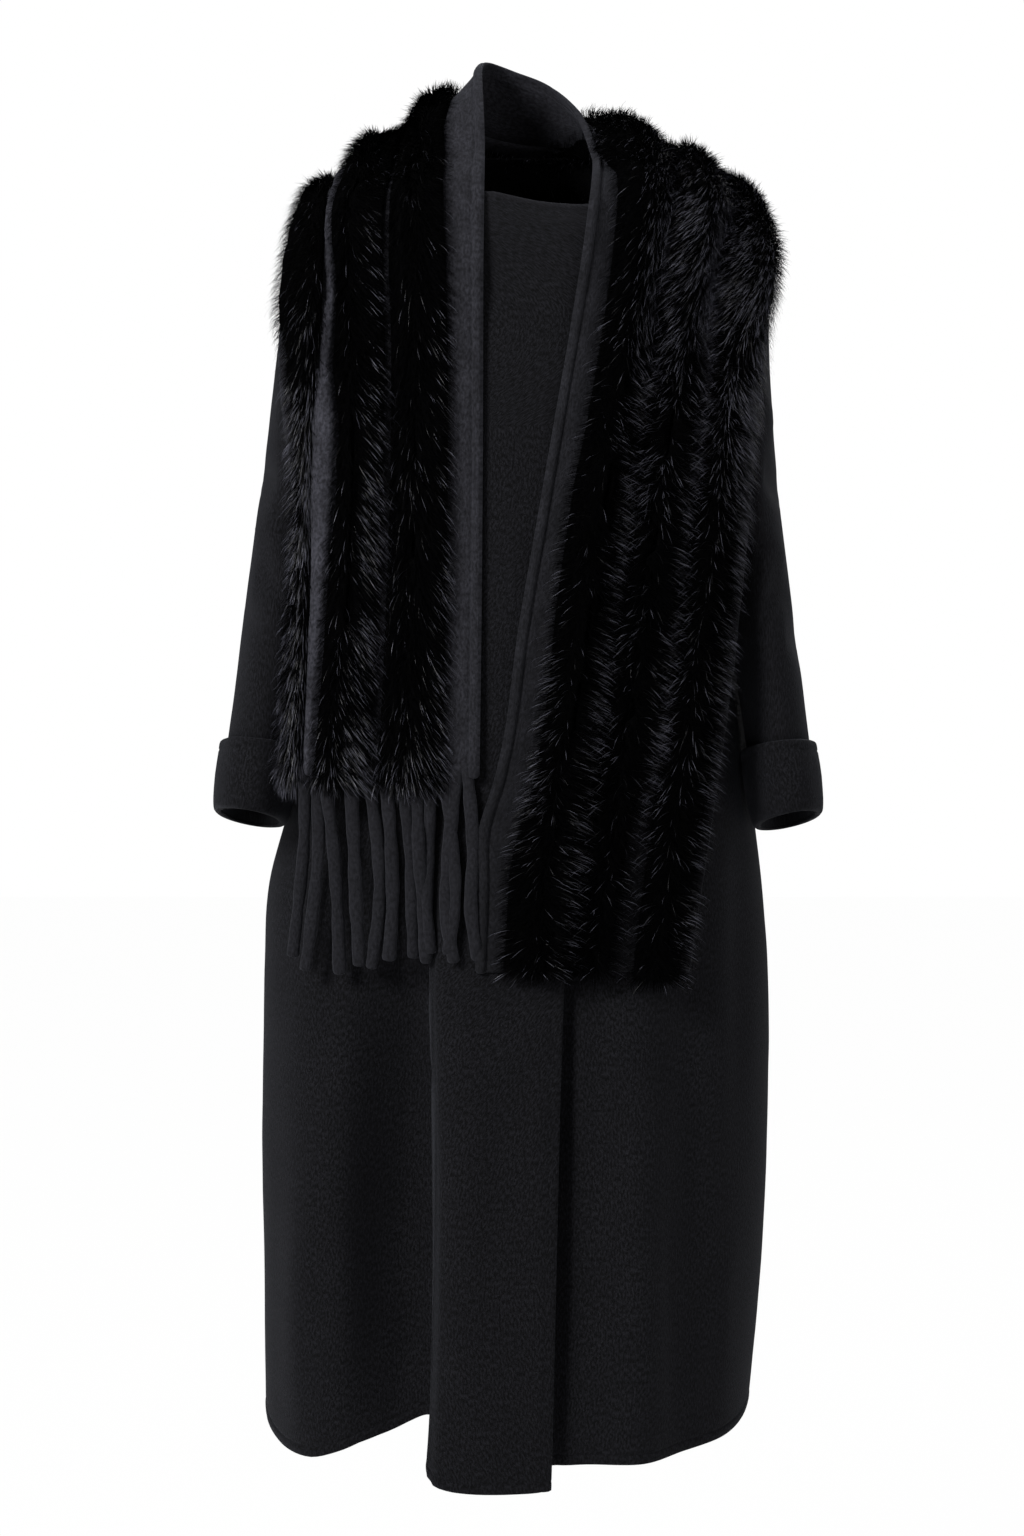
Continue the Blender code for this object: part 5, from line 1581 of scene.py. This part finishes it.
def build_coat(forms):
    """The coat's panels, sleeves and cuffs as pieces by name."""
    made = {}
    for name, (points, normals, closed) in forms.items():
        if not name.startswith("cuff"):
            edges = ROUNDNESS[name.split("_")[0]]
            made[name] = cloth_shell(f"coat_{name}", points, normals, CLOTH, WOOL, edges, closed)
    for side, seed in (("right", 1.3), ("left", 4.1)):
        rings, normals, _ = forms[f"sleeve_{side}"]
        section = cuff_rows(rings, normals, CUFF_SECTION, 2, seed)
        rows, columns = section.shape[:2]
        first = np.arange(columns)
        last = (rows - 1) * columns + first
        join = np.stack([last, np.roll(last, -1), np.roll(first, -1), first], -1)
        faces = quads(rows, columns, 0, True).tolist() + join.tolist()
        down, round_at = run_along(section, 0), run_along(section[3:4], 1)
        uv = paired(round_at, -down)
        around = float(round_at[0, -1]) + float(np.linalg.norm(section[3, 0] - section[3, -1]))
        points = section.reshape(-1, 3)
        made[f"cuff_{side}"] = mesh_piece(f"turned_cuff_{side}", points, faces, WOOL, uv, around)
    return made


def build_fur(form):
    """Nine pelts: three strips side by side on each stretch of the shawl."""
    tree = hair_tree()
    made = {}
    share = 1.0
    settings = {
        "Hairs per Square Metre": HAIR_DENSITY * share, "Hair Width": HAIR_WIDTH / math.sqrt(share),
        "Soft Finish": SOFT, "Glossy Finish": LIT_GUARD_FINISH,
    }
    for stretch in STRETCHES:
        for number, start in enumerate(STRIP_STARTS, 1):
            surface = pelt_surface(form, start, stretch, number)
            pelt = pelt_mesh(f"pelt_{stretch}_{number}", *surface, UNDER)
            grown(pelt, tree, {**settings, "Seed": number * 7 + STRETCH_SEED[stretch]})
            made[stretch, number] = pelt
    return made


def declare(coat, shawl, pelts, fringe):
    """Attaches each piece to the root body and hides the frame's part that it stands for."""
    sheets = {**coat, **{f"shawl_{name}": piece for name, piece in shawl.items()}}
    fur = {f"fur_{stretch}_{number}": pelt for (stretch, number), pelt in pelts.items()}
    for pieces, finish in (({**sheets, "fringe": fringe}, "black_wool"), (fur, "black_fur")):
        for node, piece in pieces.items():
            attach(piece, "root")
            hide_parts(node)
    for name, piece in sheets.items():
        on_it = [pelt for (stretch, _), pelt in pelts.items() if name == f"shawl_{stretch}"]
        on_it += [fringe] if name == "shawl_right" else []


def aimed(name, data, place, at):
    made = linked(name, data)
    made.location = place
    made.rotation_euler = (at - Vector(place)).to_track_quat("-Z", "Y").to_euler()
    return made


FLOOR_Z, FLOOR_HALF = -1.47, 6.0
MIDDLE = Vector((-0.0135, 0.0, -0.546))     # what the camera and the lamps look at
# name, place, power, size
LAMPS = (
    ("key_lamp", (-2.3, -2.6, 1.3), 182.0, 1.2), ("side_lamp", (2.6, -1.6, 0.6), 25.0, 1.6),
    ("top_lamp", (0.2, -0.2, 2.6), 45.0, 1.8), ("back_lamp", (0.8, 3.0, 0.8), 22.0, 1.8),
)
CAMERA_FAR, CAMERA_PITCH, FILM, FOCAL = 4.0, math.radians(6), 24.0, 69.44


def build_stage():
    """Plain pale floor, soft studio lamps and the camera."""
    floor = bpy.data.meshes.new("studio_floor")
    corners = [(-1, -1), (1, -1), (1, 1), (-1, 1)]
    corners = [(x * FLOOR_HALF, y * FLOOR_HALF, FLOOR_Z) for x, y in corners]
    floor.from_pydata(corners, [], [(0, 1, 2, 3)])
    paint = Finish("studio_paint", 0.9, 0.1)
    paint.set("Base Color", grey(0.8))
    glow = paint("ShaderNodeEmission", {"Color": WHITE, "Strength": 1.0})
    share = paint.calc("MULTIPLY", paint("ShaderNodeLightPath", out="Is Camera Ray"), 0.985)
    shown = paint("ShaderNodeMixShader", {0: share, 1: paint.shader.outputs[0], 2: glow})
    paint.tree.links.new(shown, paint.tree.nodes["Material Output"].inputs["Surface"])
    floor.materials.append(paint.made)
    linked("studio_floor", floor)

    scene = bpy.context.scene
    scene.world = bpy.data.worlds.new("studio_air")
    scene.world.use_nodes = True
    air = Nodes(scene.world.node_tree)
    air.tree.nodes.clear()
    seen = air("ShaderNodeLightPath", out="Is Camera Ray")
    dim, bright = (
        air("ShaderNodeBackground", {"Color": WHITE, "Strength": power}) for power in (0.16, 1.0)
    )
    both = air("ShaderNodeMixShader", {0: seen, 1: dim, 2: bright})
    air.node("ShaderNodeOutputWorld", {0: both})
    scene.view_settings.view_transform = "Standard"

    for name, place, power, size in LAMPS:
        lamp = bpy.data.lights.new(name, "AREA")
        lamp.energy, lamp.size = power, size
        aimed(name, lamp, place, MIDDLE)
    lens = bpy.data.cameras.new("camera")
    lens.sensor_fit, lens.sensor_height, lens.lens = "VERTICAL", FILM, FOCAL
    away = Vector((0, -math.cos(CAMERA_PITCH), math.sin(CAMERA_PITCH)))
    scene.camera = aimed("camera", lens, MIDDLE + away * CAMERA_FAR, MIDDLE)


build_stage()
coat_fine = coat_forms(True)
coat_pieces = build_coat(coat_fine)
fine_tree = surface_tree(coat_fine.values())
shawl = fine_shawl(*shawl_form(coat_forms(False)), fine_tree)
shawl_pieces = stretch_pieces(shawl, CRUSHED)
pelts = build_fur(shawl)
fringe = fringe_piece(shawl, fine_tree, ROLLED)
declare(coat_pieces, shawl_pieces, pelts, fringe)
